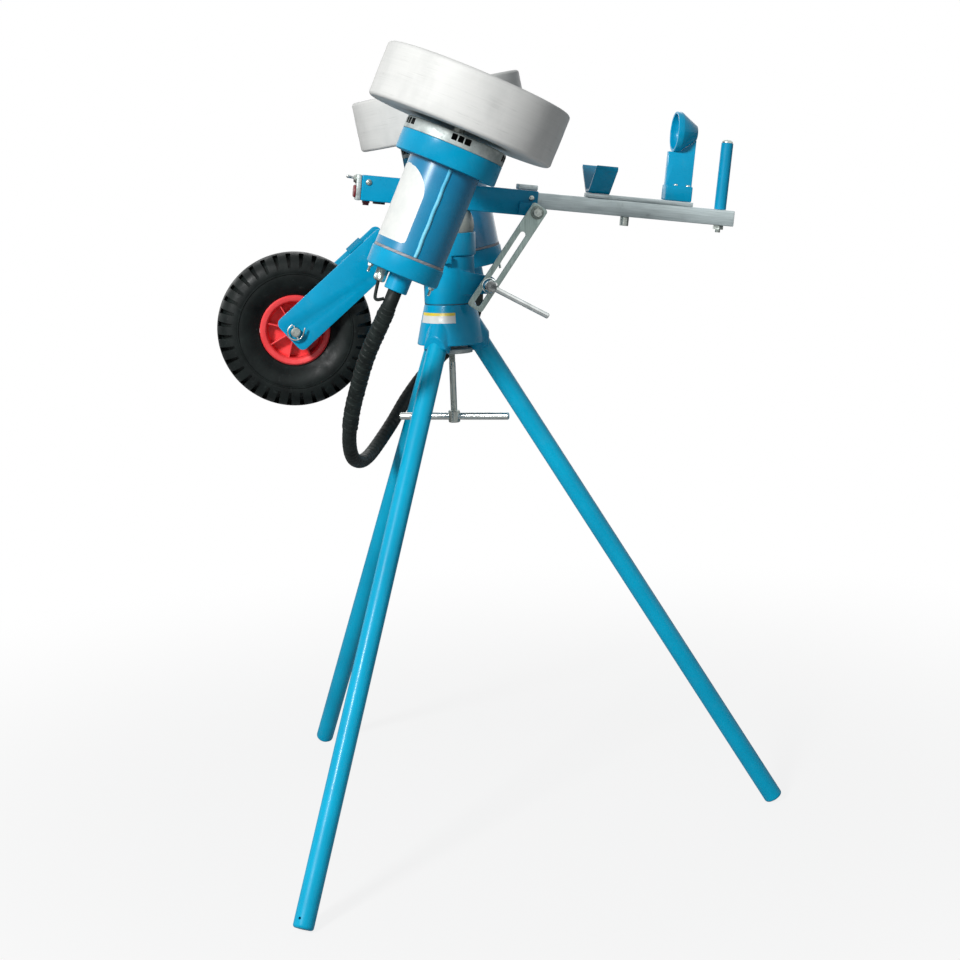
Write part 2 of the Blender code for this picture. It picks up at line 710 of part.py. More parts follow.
def make_beam(head):
    """The ball, the beam on it, the tray tube that slides into the beam, and their fittings."""
    flat = BEAM_LOW - GAP
    top_angle = math.degrees(math.asin(flat / BALL_R))
    turned(
        "swivel_ball",
        [(0, flat)] + [(x, z) for x, z in arc((0, 0), BALL_R, top_angle, -90, 6)],
        grey_cast, head, sides=24,
    )
    half = BEAM_WIDTH / 2
    beam = box("main_beam", (BEAM_LEFT, -half, BEAM_LOW), (BEAM_RIGHT, half, BEAM_HIGH), blue_paint, head,
               edge=0.002)
    bore = box("beam_bore", (BEAM_LEFT - 0.01, -half + BEAM_WALL, BEAM_LOW + BEAM_WALL),
               (BEAM_RIGHT + 0.01, half - BEAM_WALL, BEAM_HIGH - BEAM_WALL), parent=head, role="cutter")
    cut(beam, bore)

    tray_high = BEAM_HIGH - BEAM_WALL - GAP
    tray_low = tray_high - TRAY_HEIGHT
    side = TRAY_WIDTH / 2
    tray = box("tray_tube", (TRAY_LEFT, -side, tray_low), (TRAY_RIGHT, side, tray_high), silver_bar, head,
               edge=0.0015)
    slot_r = GUIDE_R + SLIDE_GAP
    slot = plate(
        "guide_slot",
        [arc((STUD_X + GUIDE_R, 0), slot_r, -90, 90, 4)
         + arc((STUD_X - CARRIAGE_TRAVEL - GUIDE_R, 0), slot_r, 90, 270, 4)],
        0.08, parent=head, role="cutter", at=(0, 0, tray_low),
    )
    handle_hole = rod("handle_hole", (HANDLE_X, 0, tray_low - 0.01), (HANDLE_X, 0, tray_high + 0.01),
                      HANDLE_BOLT_R + GAP, parent=head, role="cutter", sides=16)
    cut(tray,
        box("tray_bore", (TRAY_LEFT - 0.01, -side + TRAY_WALL, tray_low + TRAY_WALL),
            (TRAY_RIGHT + 0.01, side - TRAY_WALL, tray_high - TRAY_WALL), parent=head, role="cutter"),
        slot, handle_hole)

    box("carriage_stop", (BEAM_RIGHT - STOP_LENGTH - 0.001, -STOP_WIDTH / 2, BEAM_HIGH + GAP),
        (BEAM_RIGHT - 0.001, STOP_WIDTH / 2, BEAM_HIGH + STOP_HEIGHT), grey_cast, head, edge=0.002)

    left = BEAM_LEFT - GAP
    panel = box("control_panel", (left - PANEL_THICK, -half, BEAM_LOW), (left, half, BEAM_HIGH), silver_bar,
                head, edge=0.001)
    toggle_frame = frame("toggle_axis", head, (left - PANEL_THICK * 0.5, 0, TOGGLE_Z), (0, -90 + TOGGLE_TILT, 0))
    cut(panel, rod("toggle_hole", (left - 0.02, 0, TOGGLE_Z), (left + 0.02, 0, TOGGLE_Z), TOGGLE_R * 1.9,
                   parent=head, role="cutter", sides=20))
    turned(
        "power_toggle",
        [(0, TOGGLE_LENGTH + 0.003)]
        + [(x, z) for x, z in arc((0, TOGGLE_LENGTH), TOGGLE_R, 60, 0, 2)]
        + [(TOGGLE_R * 0.62, 0.004), (TOGGLE_R * 1.15, 0.0025), (TOGGLE_R * 1.15, -0.0025), (0, -0.003)],
        bright_steel, toggle_frame, sides=16,
    )
    for name, y in (("speed_dial_near", -DIAL_Y), ("speed_dial_far", DIAL_Y)):
        dial_frame = frame(name + "_axis", head, (left - PANEL_THICK - GAP, y, DIAL_Z), (0, -90, 0))
        dial = turned(
            name,
            [(0, DIAL_THICK), (DIAL_R * 0.9, DIAL_THICK), (DIAL_R, DIAL_THICK * 0.55), (DIAL_R, 0), (0, 0)],
            dark_red, dial_frame, sides=28,
        )
        cut(dial, box(name + "_mark", (-0.0006, 0.002, DIAL_THICK - 0.0007), (0.0006, DIAL_R * 0.8, DIAL_THICK + 0.001),
                      parent=dial_frame, role="cutter"))

    low = BEAM_LOW - GAP
    fuse_holder = turned(
        "fuse_holder", [(0, 0), (0.0062, 0), (0.0062, -0.0030), (0.0050, -0.0034), (0.0050, -0.0068), (0, -0.0068)],
        dark_red, head, sides=20,
    )
    fuse_holder.location = (BEAM_LEFT + 0.010, 0, low)

    handle = turned(
        "aim_handle",
        [(HANDLE_BOLT_R + GAP, HANDLE_LENGTH), (HANDLE_R, HANDLE_LENGTH), (HANDLE_R, 0), (HANDLE_BOLT_R + GAP, 0)],
        blue_paint, head, closed=True, sides=28,
    )
    handle.location = (HANDLE_X, 0, tray_high + GAP)
    head_low = tray_high + HANDLE_LENGTH + 2 * GAP
    tail = tray_low - GAP - NUT_THICK - BOLT_TAIL
    dome = [(x, head_low + z) for x, z in
            [(HANDLE_HEAD_R * math.cos(a), HANDLE_HEAD_HEIGHT * math.sin(a))
             for a in [math.radians(90 - 22.5 * i) for i in range(4)]]]
    bolt = turned(
        "aim_handle_bolt",
        [(0, head_low + HANDLE_HEAD_HEIGHT)] + dome[1:]
        + [(HANDLE_HEAD_R, head_low), (HANDLE_BOLT_R, head_low), (HANDLE_BOLT_R, tail), (0, tail)],
        bright_steel, head, sides=16,
    )
    bolt.location = (HANDLE_X, 0, 0)
    nut = rod("handle_nut", (HANDLE_X, 0, tray_low - GAP), (HANDLE_X, 0, tray_low - GAP - NUT_THICK),
              NUT_R, parent=head, role="filler", sides=6)
    fuse(bolt, nut)
    return tray_low, tray_high


def make_carriage(head, tray_low, tray_high):
    """Slider with a V cradle in front and the cup that pushes the throw, and the stud that guides it."""
    slide = frame("carriage_slide", head)
    low = tray_high + GAP
    top = low + PLATE_THICK
    half = PLATE_WIDTH / 2
    box("slider_plate", (PLATE_LEFT, -half, low), (PLATE_RIGHT, half, top), silver_bar, slide, edge=0.001)

    rise = math.atan2(CRADLE_RISE, CRADLE_REACH - CRADLE_FLAT)
    down = CRADLE_THICK / math.cos(rise)
    base = top + GAP
    upper = [(-CRADLE_REACH, base + CRADLE_THICK + CRADLE_RISE), (-CRADLE_FLAT, base + CRADLE_THICK),
             (CRADLE_FLAT, base + CRADLE_THICK), (CRADLE_REACH, base + CRADLE_THICK + CRADLE_RISE)]
    nudge = CRADLE_THICK * math.tan(rise / 2)
    lower = [(CRADLE_REACH, base + CRADLE_THICK + CRADLE_RISE - down), (CRADLE_FLAT + nudge, base),
             (-CRADLE_FLAT - nudge, base), (-CRADLE_REACH, base + CRADLE_THICK + CRADLE_RISE - down)]
    plate("v_cradle", [upper + lower], CRADLE_LENGTH, blue_paint, slide, turn=(90, 0, 90),
          at=(PLATE_LEFT + 0.001 + CRADLE_LENGTH / 2, 0, 0))

    foot = POST_FOOT_WIDTH / 2
    post = box("cup_post", (POST_X, -foot, base), (POST_X + POST_LENGTH, foot, base + POST_FOOT_HEIGHT),
               blue_paint, slide, edge=0.0015)
    blade = box("post_blade", (POST_X, -POST_THICK / 2, base + 0.002),
                (POST_X + POST_LENGTH, POST_THICK / 2, PUSHER_Z), parent=slide, role="filler")
    fuse(post, blade)
    cup_frame = frame("cup_line", slide, (PUSHER_X, 0, PUSHER_Z), (0, -90, 0))
    outer = [(PUSHER_R, 0), (PUSHER_R, -PUSHER_LIP), (PUSHER_APEX_R, -PUSHER_DEPTH)]
    inner = [(0, -PUSHER_DEPTH + PUSHER_WALL), (PUSHER_APEX_R - 0.002, -PUSHER_DEPTH + PUSHER_WALL),
             (PUSHER_R - PUSHER_WALL, -PUSHER_LIP), (PUSHER_R - PUSHER_WALL, 0)]
    turned("pusher_cup", inner + outer + [(0, -PUSHER_DEPTH)], blue_paint, cup_frame, sides=24)
    clear = turned(
        "cup_clear",
        [(0, 0.05), (PUSHER_R + GAP, 0.05), (PUSHER_R + GAP, -PUSHER_LIP),
         (PUSHER_APEX_R + GAP, -PUSHER_DEPTH - GAP), (0, -PUSHER_DEPTH - GAP)],
        parent=cup_frame, role="cutter", sides=24,
    )
    cut(post, clear)

    stud = turned(
        "guide_stud",
        [(0, low - GAP), (GUIDE_R, low - GAP), (GUIDE_R, tray_low - GAP), (SLEEVE_R, tray_low - GAP),
         (SLEEVE_R, tray_low - SLEEVE_DROP), (0, tray_low - SLEEVE_DROP)],
        bright_steel, slide, sides=20,
    )
    stud.location = (STUD_X, 0, 0)


def make_drive(head, mark, sign):
    """One throwing wheel with its motor, all on an axis twisted from the head's own upright."""
    line = frame("wheel_line_" + mark, head, (WHEEL_X, sign * WHEEL_Y, WHEEL_Z), (0, -sign * WHEEL_TWIST, 0))
    spin = frame("wheel_axis_" + mark, line)
    half = WHEEL_WIDTH / 2
    shoulder = arc((WHEEL_R - WHEEL_SHOULDER, half - WHEEL_SHOULDER), WHEEL_SHOULDER, 90, 0, 3)
    upper = [(HUB_R + GAP, half * 0.72), (HUB_R + 0.022, half * 0.97)] + shoulder
    turned("wheel_tyre_" + mark, upper + [(r, -z) for r, z in reversed(upper)], white_rubber, spin,
           closed=True, sides=32)
    h = HUB_WIDTH / 2
    web = HUB_WEB / 2
    hub = turned(
        "wheel_hub_" + mark,
        [(SHAFT_R + GAP, h), (HUB_CORE_R, h), (HUB_CORE_R, web), (HUB_R - 0.006, web), (HUB_R - 0.006, h),
         (HUB_R, h), (HUB_R, -h), (HUB_R - 0.006, -h), (HUB_R - 0.006, -web), (HUB_CORE_R, -web),
         (HUB_CORE_R, -h), (SHAFT_R + GAP, -h)],
        silver_bar, spin, closed=True, sides=20,
    )
    reach = (HUB_CORE_R + HUB_R - 0.006) / 2
    holes = bpy.data.meshes.new("hub_holes_" + mark)
    shape = bmesh.new()
    for i in range(HUB_HOLES):
        turn = Matrix.Rotation(math.tau * (i + 0.2) / HUB_HOLES, 4, "Z")
        bmesh.ops.create_cone(
            shape, cap_ends=True, segments=8, radius1=HUB_HOLE_R, radius2=HUB_HOLE_R, depth=4 * HUB_WEB,
            matrix=turn @ Matrix.Translation((reach, 0, 0)),
        )
    shape.to_mesh(holes)
    shape.free()
    cut(hub, add("hub_holes_" + mark, holes, None, spin, "cutter"))
    turned(
        "motor_shaft_" + mark,
        [(0, h + 0.006), (SHAFT_R - 0.001, h + 0.006), (SHAFT_R, h + 0.005), (SHAFT_R, -ARMATURE_TOP),
         (ARMATURE_R, -ARMATURE_TOP), (ARMATURE_R, -ARMATURE_TOP - ARMATURE_LENGTH),
         (SHAFT_R, -ARMATURE_TOP - ARMATURE_LENGTH), (SHAFT_R, -SHAFT_END), (0, -SHAFT_END)],
        bright_steel, spin, sides=16,
    )

    bell_low = -BELL_TOP - BELL_THICK
    bell = turned(
        "end_bell_" + mark,
        [(SHAFT_R + SLIDE_GAP, -BELL_TOP), (BELL_R - 0.005, -BELL_TOP), (BELL_R, -BELL_TOP - 0.005),
         (BELL_R, bell_low), (SHAFT_R + SLIDE_GAP, bell_low)],
        grey_cast, line, closed=True, sides=28,
    )
    vents = bpy.data.meshes.new("vents_" + mark)
    shape = bmesh.new()
    for i in range(BELL_SLOTS):
        turn = Matrix.Rotation(math.tau * (i + 0.5) / BELL_SLOTS, 4, "Z")
        size = Matrix.Diagonal((2 * SLOT_DEEP, 0.030, 0.008, 1))
        where = turn @ Matrix.Translation((BELL_R, 0, -BELL_TOP - 0.008))
        bmesh.ops.create_cube(shape, size=1.0, matrix=where @ size)
    shape.to_mesh(vents)
    shape.free()
    cut(bell, add("vents_" + mark, vents, None, line, "cutter"))

    ring_high = bell_low - GAP
    ring_low = ring_high - RING_THICK
    turned(
        "mount_ring_" + mark,
        [(RING_BORE_R, ring_high), (BELL_R, ring_high), (BELL_R, ring_low + 0.002), (BELL_R - 0.002, ring_low),
         (RING_BORE_R, ring_low)],
        blue_paint, line, closed=True, sides=28,
    )
    inside = MOTOR_R - MOTOR_WALL
    turned(
        "motor_body_" + mark,
        [(inside, ring_high), (MOTOR_R, ring_high), (MOTOR_R, -MOTOR_BOTTOM), (inside, -MOTOR_BOTTOM)],
        blue_paint, line, closed=True, sides=24,
    )
    gasket_high = -MOTOR_BOTTOM - GAP
    gasket_low = -MOTOR_BOTTOM - GASKET_THICK
    turned(
        "motor_gasket_" + mark,
        [(inside, gasket_high), (GASKET_R, gasket_high), (GASKET_R, gasket_low), (inside, gasket_low)],
        grey_cast, line, closed=True, sides=28,
    )
    cap_high = gasket_low - GAP
    cap_low = gasket_low - CAP_THICK
    boss_low = cap_low - BOSS_LENGTH
    pocket = SHAFT_R + SLIDE_GAP
    turned(
        "motor_cap_" + mark,
        [(0, -SHAFT_END - 0.002), (pocket, -SHAFT_END - 0.002), (pocket, cap_high), (CAP_R, cap_high),
         (CAP_R, cap_low + 0.003), (CAP_R - 0.003, cap_low), (BOSS_R, cap_low), (BOSS_R, boss_low),
         (0, boss_low)],
        blue_paint, line, sides=24,
    )
    gland_low = cap_low - GLAND_LENGTH
    gland = turned(
        "cable_gland_" + mark,
        [(0, cap_low - GAP), (GLAND_R, cap_low - GAP), (GLAND_R, cap_low - 0.009),
         (GLAND_R - 0.0015, cap_low - 0.010), (GLAND_R - 0.0015, gland_low + 0.004),
         (GLAND_R - 0.003, gland_low), (0, gland_low)],
        bright_steel, line, sides=16,
    )
    gland.location = (-GLAND_REACH, 0, 0)
    return line, boss_low, gland_low


def make_arms(head, lines):
    """Welded saddle and two arms that carry the motor rings beside the beam."""
    half = BEAM_WIDTH / 2
    saddle = box("arm_frame", (SADDLE_LOW_X, -half, BEAM_HIGH + GAP), (SADDLE_HIGH_X, half, ARM_Z + 0.002),
                 blue_paint, head, edge=0.002)
    ring_depth = BELL_TOP + BELL_THICK + GAP + RING_THICK / 2
    for mark, sign in (("near", -1), ("far", 1)):
        x = WHEEL_X + sign * ring_depth * math.sin(math.radians(WHEEL_TWIST))
        ends = sorted((-sign * half, sign * (WHEEL_Y - BELL_R + 0.012)))
        arm = box("arm_" + mark, (x - ARM_WIDTH / 2, ends[0], ARM_Z), (x + ARM_WIDTH / 2, ends[1], ARM_Z + ARM_HEIGHT),
                  parent=head, role="filler", edge=0.003)
        fuse(saddle, arm)
        cut(saddle, rod("ring_clear_" + mark, (0, 0, -0.02), (0, 0, -0.16), BELL_R + GAP, parent=lines[mark],
                        role="cutter", sides=28))


def make_link(head, turning):
    """Slotted link from the beam to the stud, with its bracket, bolt and locking lever."""
    into_head = Matrix.Rotation(math.radians(-HEAD_PITCH), 3, "Y")
    pivot = into_head @ Vector((PIVOT_X, 0, PIVOT_Z - BALL_Z))
    stud = into_head @ Vector((EAR_REACH_X, 0, EAR_Z - BALL_Z))
    run = stud - pivot
    lean = math.degrees(math.atan2(-run.z, run.x))
    link_frame = frame("link_axis", head, (pivot.x, LINK_Y, pivot.z), (90, 0, 0))
    turned_frame = frame("link_line", link_frame, turn=(0, 0, -lean))
    half = LINK_WIDTH / 2
    hole = arc((0, 0), PIVOT_R + GAP, 0, 330, 11)
    slot = arc((SLOT_LAST, 0), SLOT_R, -90, 90, 6) + arc((SLOT_FIRST, 0), SLOT_R, 90, 270, 6)
    plate("elevation_link",
          [rounded((-LINK_TOP, -half), (LINK_BOTTOM, half), LINK_CORNER), hole, slot],
          LINK_THICK, silver_bar, turned_frame)

    back = LINK_Y + LINK_THICK / 2 + GAP
    side = -BEAM_WIDTH / 2 - GAP
    bracket = rod("link_bracket", (pivot.x, back, pivot.z), (pivot.x, side - PAD_THICK / 4, pivot.z),
                  BRACKET_R, blue_paint, head, sides=16)
    pad = box("bracket_pad", (pivot.x - 0.026, side - PAD_THICK, pivot.z - 0.007),
              (pivot.x + 0.004, side, pivot.z + 0.014), parent=head, role="filler", edge=0.001)
    fuse(bracket, pad)
    cut(bracket, rod("pivot_hole", (pivot.x, -0.1, pivot.z), (pivot.x, side - PAD_THICK / 2, pivot.z), PIVOT_R + GAP,
                     parent=head, role="cutter", sides=16))
    front = LINK_Y - LINK_THICK / 2 - GAP
    washer = rod("pivot_bolt", (pivot.x, front, pivot.z), (pivot.x, front - WASHER_THICK, pivot.z), WASHER_R,
                 bright_steel, head, sides=24)
    nut = rod("pivot_hex", (pivot.x, front - WASHER_THICK / 2, pivot.z),
              (pivot.x, front - WASHER_THICK - HEX_THICK, pivot.z), HEX_R, parent=head, role="filler", sides=6)
    shank = rod("pivot_shank", (pivot.x, front - WASHER_THICK / 2, pivot.z), (pivot.x, side - PAD_THICK / 2 - GAP, pivot.z),
                PIVOT_R, parent=head, role="filler", sides=16)
    fuse(washer, nut, shank)

    lever_frame = frame("lever_axis", turning, (EAR_REACH_X, front, EAR_Z), (90, 0, 0))
    lever = turned(
        "elevation_lever",
        [(0, LEVER_HUB_LENGTH), (LEVER_HUB_R * 0.7, LEVER_HUB_LENGTH), (LEVER_HUB_R, LEVER_HUB_LENGTH - 0.003),
         (LEVER_HUB_R, 0), (0, 0)],
        bright_steel, lever_frame, sides=24,
    )
    drop = math.radians(-LEVER_DROP)
    out = LEVER_HUB_LENGTH - LEVER_ROD_R - 0.003
    arm = rod("lever_fill", (0, 0, out), (LEVER_LENGTH * math.cos(drop), LEVER_LENGTH * math.sin(drop), out),
              LEVER_ROD_R, parent=lever_frame, role="filler", sides=12, edge=0.0015)
    fuse(lever, arm)
    cut(lever, rod("lever_bore", (0, 0, -0.01), (0, 0, LEVER_HUB_LENGTH * 0.7 + GAP * 2), STUD_R + GAP,
                   parent=lever_frame, role="cutter", sides=16))


def smooth_route(points, step):
    """Points a step apart along a smooth curve through the route's own points."""
    ends = [points[0] * 2 - points[1]] + points + [points[-1] * 2 - points[-2]]
    fine = []
    for before, start, end, after in zip(ends, ends[1:], ends[2:], ends[3:]):
        for i in range(24):
            t = i / 24
            fine.append(0.5 * (
                2 * start + (end - before) * t + (2 * before - 5 * start + 4 * end - after) * t * t
                + (3 * start - before - 3 * end + after) * t ** 3
            ))
    fine.append(points[-1])
    for _ in range(6):
        fine = [fine[0]] + [(a + 2 * b + c) / 4 for a, b, c in zip(fine, fine[1:], fine[2:])] + [fine[-1]]
    travelled = [0.0]
    for a, b in zip(fine, fine[1:]):
        travelled.append(travelled[-1] + (b - a).length)
    total = travelled[-1]
    count = max(2, round(total / step))
    route = []
    j = 0
    for i in range(count + 1):
        want = total * i / count
        while j < len(travelled) - 2 and travelled[j + 1] < want:
            j += 1
        share = (want - travelled[j]) / max(1e-9, travelled[j + 1] - travelled[j])
        route.append(fine[j].lerp(fine[j + 1], share))
    return route, total


# Route of the hose between its two motor caps, in the machine's frame, floor at z 0
HOSE_ROUTE = (
    (-0.1200, -0.2150, 0.8850), (-0.1330, -0.2020, 0.8560), (-0.1450, -0.1850, 0.8280),
    (-0.1555, -0.1660, 0.7970), (-0.1640, -0.1450, 0.7640), (-0.1720, -0.1230, 0.7310),
    (-0.1770, -0.1000, 0.6960), (-0.1780, -0.0760, 0.6690), (-0.1745, -0.0480, 0.6450),
    (-0.1670, -0.0130, 0.6290), (-0.1540, 0.0280, 0.6200), (-0.1380, 0.0680, 0.6230),
    (-0.1150, 0.1090, 0.6420), (-0.0900, 0.1470, 0.6680), (-0.0620, 0.1800, 0.7030),
    (-0.0280, 0.2020, 0.7400), (0.0080, 0.2140, 0.7720), (0.0420, 0.2190, 0.8030),
    (0.0640, 0.2215, 0.8350),
)


def make_hose(head, lines, boss_lows, gland_lows):
    """Taped hose with a plain sleeve at each end, and each motor's own thin lead into it."""
    bpy.context.view_layer.update()
    into_head = head.matrix_world.inverted()
    leave = {}
    for mark, line in lines.items():
        drops = (2 * GAP, SLEEVE_HOSE_R, 2 * SLEEVE_HOSE_R)
        leave[mark] = [line.matrix_world @ Vector((0, 0, boss_lows[mark] - drop)) for drop in drops]
    way = leave["near"] + [Vector(p) for p in HOSE_ROUTE] + leave["far"][::-1]
    fine, total = smooth_route(way, 0.001)
    step = total / (len(fine) - 1)
    first = round(SLEEVE_NEAR / step)
    last = len(fine) - 1 - round(SLEEVE_FAR / step)
    gap_steps = 2

    tube("hose_sleeve_near", [into_head @ fine[round(i * (first - gap_steps) / 4)] for i in range(5)],
         SLEEVE_HOSE_R, black_rubber, head, resolution=2)
    far_start = last + gap_steps
    far_end = len(fine) - 1
    tube(
        "hose_sleeve_far",
        [into_head @ fine[round(far_start + i * (far_end - far_start) / 5)] for i in range(6)],
        SLEEVE_HOSE_R, black_rubber, head, resolution=2,
    )

    run = (last - first) * step
    straight = 2 * HOSE_R
    ribs = round((run - 2 * straight) / HOSE_PITCH)
    pitch = (run - 2 * straight) / ribs
    low = HOSE_LOW_R / HOSE_R
    stations = [(0.0, low), (straight, low)]
    for i in range(ribs):
        at = straight + i * pitch
        stations.append((at + HOSE_RIB_RISE, 1.0))
        stations.append((at + pitch, low))
    stations.append((run, low))
    points = []
    scales = []
    for distance, scale in stations:
        index = min(last, first + distance / step)
        whole = min(int(index), last - 1)
        points.append(into_head @ fine[whole].lerp(fine[whole + 1], index - whole))
        scales.append(scale)
    tube("wiring_hose", points, HOSE_R, black_rubber, head, scales=scales, resolution=2)
    print("hose length", round(total, 4), "ribs", ribs)

    near = lines["near"].matrix_world
    base = gland_lows["near"]
    bend = [(-GLAND_REACH, base - GAP), (-GLAND_REACH - 0.001, base - 0.008), (-GLAND_REACH + 0.001, base - 0.016),
            (-GLAND_REACH + 0.006, base - 0.0215), (-GLAND_REACH + 0.0115, base - 0.0235)]
    tube("motor_lead", [into_head @ (near @ Vector((x, 0, z))) for x, z in bend], LEAD_R, black_plastic, head,
         resolution=1)


def centre_on_floor(stand):
    """Move the whole machine so that the origin is under the middle of its outline, hose apart."""
    depsgraph = bpy.context.evaluated_depsgraph_get()
    depsgraph.update()
    corners = []
    for thing in machine.objects:
        if thing.type == "MESH" and "hose" not in thing.name and thing.name != "motor_lead":
            mesh = thing.evaluated_get(depsgraph).to_mesh()
            corners += [thing.matrix_world @ vertex.co for vertex in mesh.vertices]
    low = [min(corner[i] for corner in corners) for i in range(3)]
    high = [max(corner[i] for corner in corners) for i in range(3)]
    stand.location = (-(low[0] + high[0]) / 2, -(low[1] + high[1]) / 2, -low[2])
    print("moved by", [round(value, 5) for value in stand.location])


def build():
    stand = frame("stand")
    make_tripod(stand)
    make_clamp_screw(stand)
    turning = frame("swivel_axis", stand)
    make_swivel(turning)
    make_transport_fork(turning)
    make_transport_wheel(turning)
    head = frame("head", turning, (0, 0, BALL_Z), (0, HEAD_PITCH, 0))
    tray_low, tray_high = make_beam(head)
    make_carriage(head, tray_low, tray_high)
    lines = {}
    boss_lows = {}
    gland_lows = {}
    for mark, sign in (("near", -1), ("far", 1)):
        lines[mark], boss_lows[mark], gland_lows[mark] = make_drive(head, mark, sign)
    make_arms(head, lines)
    make_link(head, turning)
    make_hose(head, lines, boss_lows, gland_lows)
    centre_on_floor(stand)


build()
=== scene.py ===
import math

import bmesh
import bpy
from mathutils import Matrix, Vector


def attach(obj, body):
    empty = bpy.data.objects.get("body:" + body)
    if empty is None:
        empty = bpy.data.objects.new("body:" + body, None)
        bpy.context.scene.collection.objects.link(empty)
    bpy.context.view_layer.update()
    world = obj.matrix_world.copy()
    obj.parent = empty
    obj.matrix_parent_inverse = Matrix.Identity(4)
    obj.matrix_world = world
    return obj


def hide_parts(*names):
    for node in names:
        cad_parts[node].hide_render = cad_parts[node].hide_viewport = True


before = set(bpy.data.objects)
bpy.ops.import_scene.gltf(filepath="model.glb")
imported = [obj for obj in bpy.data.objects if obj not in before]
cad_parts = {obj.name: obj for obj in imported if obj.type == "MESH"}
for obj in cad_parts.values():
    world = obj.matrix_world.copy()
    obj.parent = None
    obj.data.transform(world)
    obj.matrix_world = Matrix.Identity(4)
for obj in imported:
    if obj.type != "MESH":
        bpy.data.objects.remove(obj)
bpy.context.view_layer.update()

# Camera, floor and daylight
# The machine stands on a plain white floor in soft daylight from the upper left, and is
# seen from the near side, a little above the height of its motors.
ground_x, ground_y = -0.07918, -0.01955
lens_mm, film_mm = 70.67, 36
eye_at = (-0.39366, -3.07948, 1.13758)
lamp_aim = Vector((ground_x, ground_y, 0.85))
lamps = (
    ("sun_side", (-2.7, -3.4, 3.1), 0.8, 250),
    ("open_side", (2.6, -2.4, 1.6), 2.6, 6),
    ("behind", (0.6, 3.0, 2.2), 2.4, 14),
)
white = (1.0, 1.0, 1.0, 1.0)
floor_size = 60
fade_near, fade_far, near_share = 0.45, 2.0, 0.86


def let_go():
    """Leave nothing selected."""
    bpy.ops.object.select_all(action="DESELECT")


def screen(colour):
    """Screen colour from 0 to 255 as the linear colour that a shader takes."""
    shares = [channel / 255 for channel in colour]
    return [s / 12.92 if s <= 0.04045 else ((s + 0.055) / 1.055) ** 2.4 for s in shares] + [1.0]


def add_node(tree, kind, values=None, **settings):
    """A shader node with its settings and the values of its sockets."""
    node = tree.nodes.new("ShaderNode" + kind)
    for setting, value in settings.items():
        setattr(node, setting, value)
    for socket, value in (values or {}).items():
        node.inputs[socket].default_value = value
    return node


def wire(tree, *joins):
    """Wire nodes: each join is a node, its output, the next node and its input."""
    for source, output, target, socket in joins:
        tree.links.new(source.outputs[output], target.inputs[socket])


scene = bpy.context.scene
scene.view_settings.view_transform = "Standard"
eye = bpy.data.cameras.new("photographer")
eye.lens = lens_mm
eye.sensor_width = film_mm
camera = bpy.data.objects.new("photographer", eye)
scene.collection.objects.link(camera)
right = Vector((0.9921, -0.1209, -0.0346)).normalized()
back = -Vector((0.1129, 0.9776, -0.1776)).normalized()
up = back.cross(right).normalized()
right = up.cross(back).normalized()
camera.matrix_world = Matrix.Translation(eye_at) @ Matrix((right, up, back)).transposed().to_4x4()
scene.camera = camera

sky = bpy.data.worlds.new("daylight")
scene.world = sky
sky.use_nodes = True
sky_tree = sky.node_tree
sky_tree.nodes.clear()
open_sky = add_node(sky_tree, "Background", {"Color": (0.86, 0.93, 1.0, 1.0), "Strength": 0.215})
seen_sky = add_node(sky_tree, "Background", {"Color": white, "Strength": 1.0})
sky_path = add_node(sky_tree, "LightPath")
seen_or_mirrored = add_node(sky_tree, "Math", operation="MAXIMUM")
seen_at_all = add_node(sky_tree, "Math", operation="MAXIMUM")
sky_mix = add_node(sky_tree, "MixShader")
sky_out = add_node(sky_tree, "OutputWorld")
wire(
    sky_tree,
    (sky_path, "Is Camera Ray", seen_or_mirrored, 0),
    (sky_path, "Is Glossy Ray", seen_or_mirrored, 1),
    (seen_or_mirrored, "Value", seen_at_all, 0),
    (sky_path, "Is Transmission Ray", seen_at_all, 1),
    (seen_at_all, "Value", sky_mix, "Fac"),
    (open_sky, "Background", sky_mix, 1),
    (seen_sky, "Background", sky_mix, 2),
    (sky_mix, "Shader", sky_out, "Surface"),
)

for name, where, size, power in lamps:
    lamp = bpy.data.lights.new(name, "AREA")
    lamp.size = size
    lamp.energy = power
    lamp_object = bpy.data.objects.new(name, lamp)
    scene.collection.objects.link(lamp_object)
    lamp_object.location = where
    lamp_object.rotation_euler = (lamp_aim - Vector(where)).to_track_quat("-Z", "Y").to_euler()

let_go()
bpy.ops.mesh.primitive_plane_add(size=floor_size, location=(0, 0, 0))
floor = bpy.context.object
floor.name = "white_floor"
floor_finish = bpy.data.materials.new("white_floor")
floor_finish.use_nodes = True
floor_tree = floor_finish.node_tree
floor_tree.nodes.clear()
lit_floor = add_node(floor_tree, "BsdfDiffuse", {"Color": (0.42, 0.42, 0.42, 1.0)})
bright_floor = add_node(floor_tree, "Emission", {"Strength": 1.0})
floor_path = add_node(floor_tree, "LightPath")
floor_share = add_node(floor_tree, "Math", operation="MULTIPLY")
floor_spot = add_node(floor_tree, "TexCoord")
floor_far = add_node(floor_tree, "VectorMath", operation="LENGTH")
floor_fade = add_node(
    floor_tree, "MapRange",
    {"From Min": fade_near, "From Max": fade_far, "To Min": near_share, "To Max": 1.0},
    interpolation_type="SMOOTHSTEP",
)
floor_mix = add_node(floor_tree, "MixShader")
floor_out = add_node(floor_tree, "OutputMaterial")
wire(
    floor_tree,
    (floor_spot, "Object", floor_far, 0),
    (floor_far, "Value", floor_fade, "Value"),
    (floor_fade, "Result", floor_share, 1),
    (floor_path, "Is Camera Ray", floor_share, 0),
    (floor_share, "Value", floor_mix, "Fac"),
    (lit_floor, "BSDF", floor_mix, 1),
    (bright_floor, "Emission", floor_mix, 2),
    (floor_mix, "Shader", floor_out, "Surface"),
)
floor.data.materials.append(floor_finish)


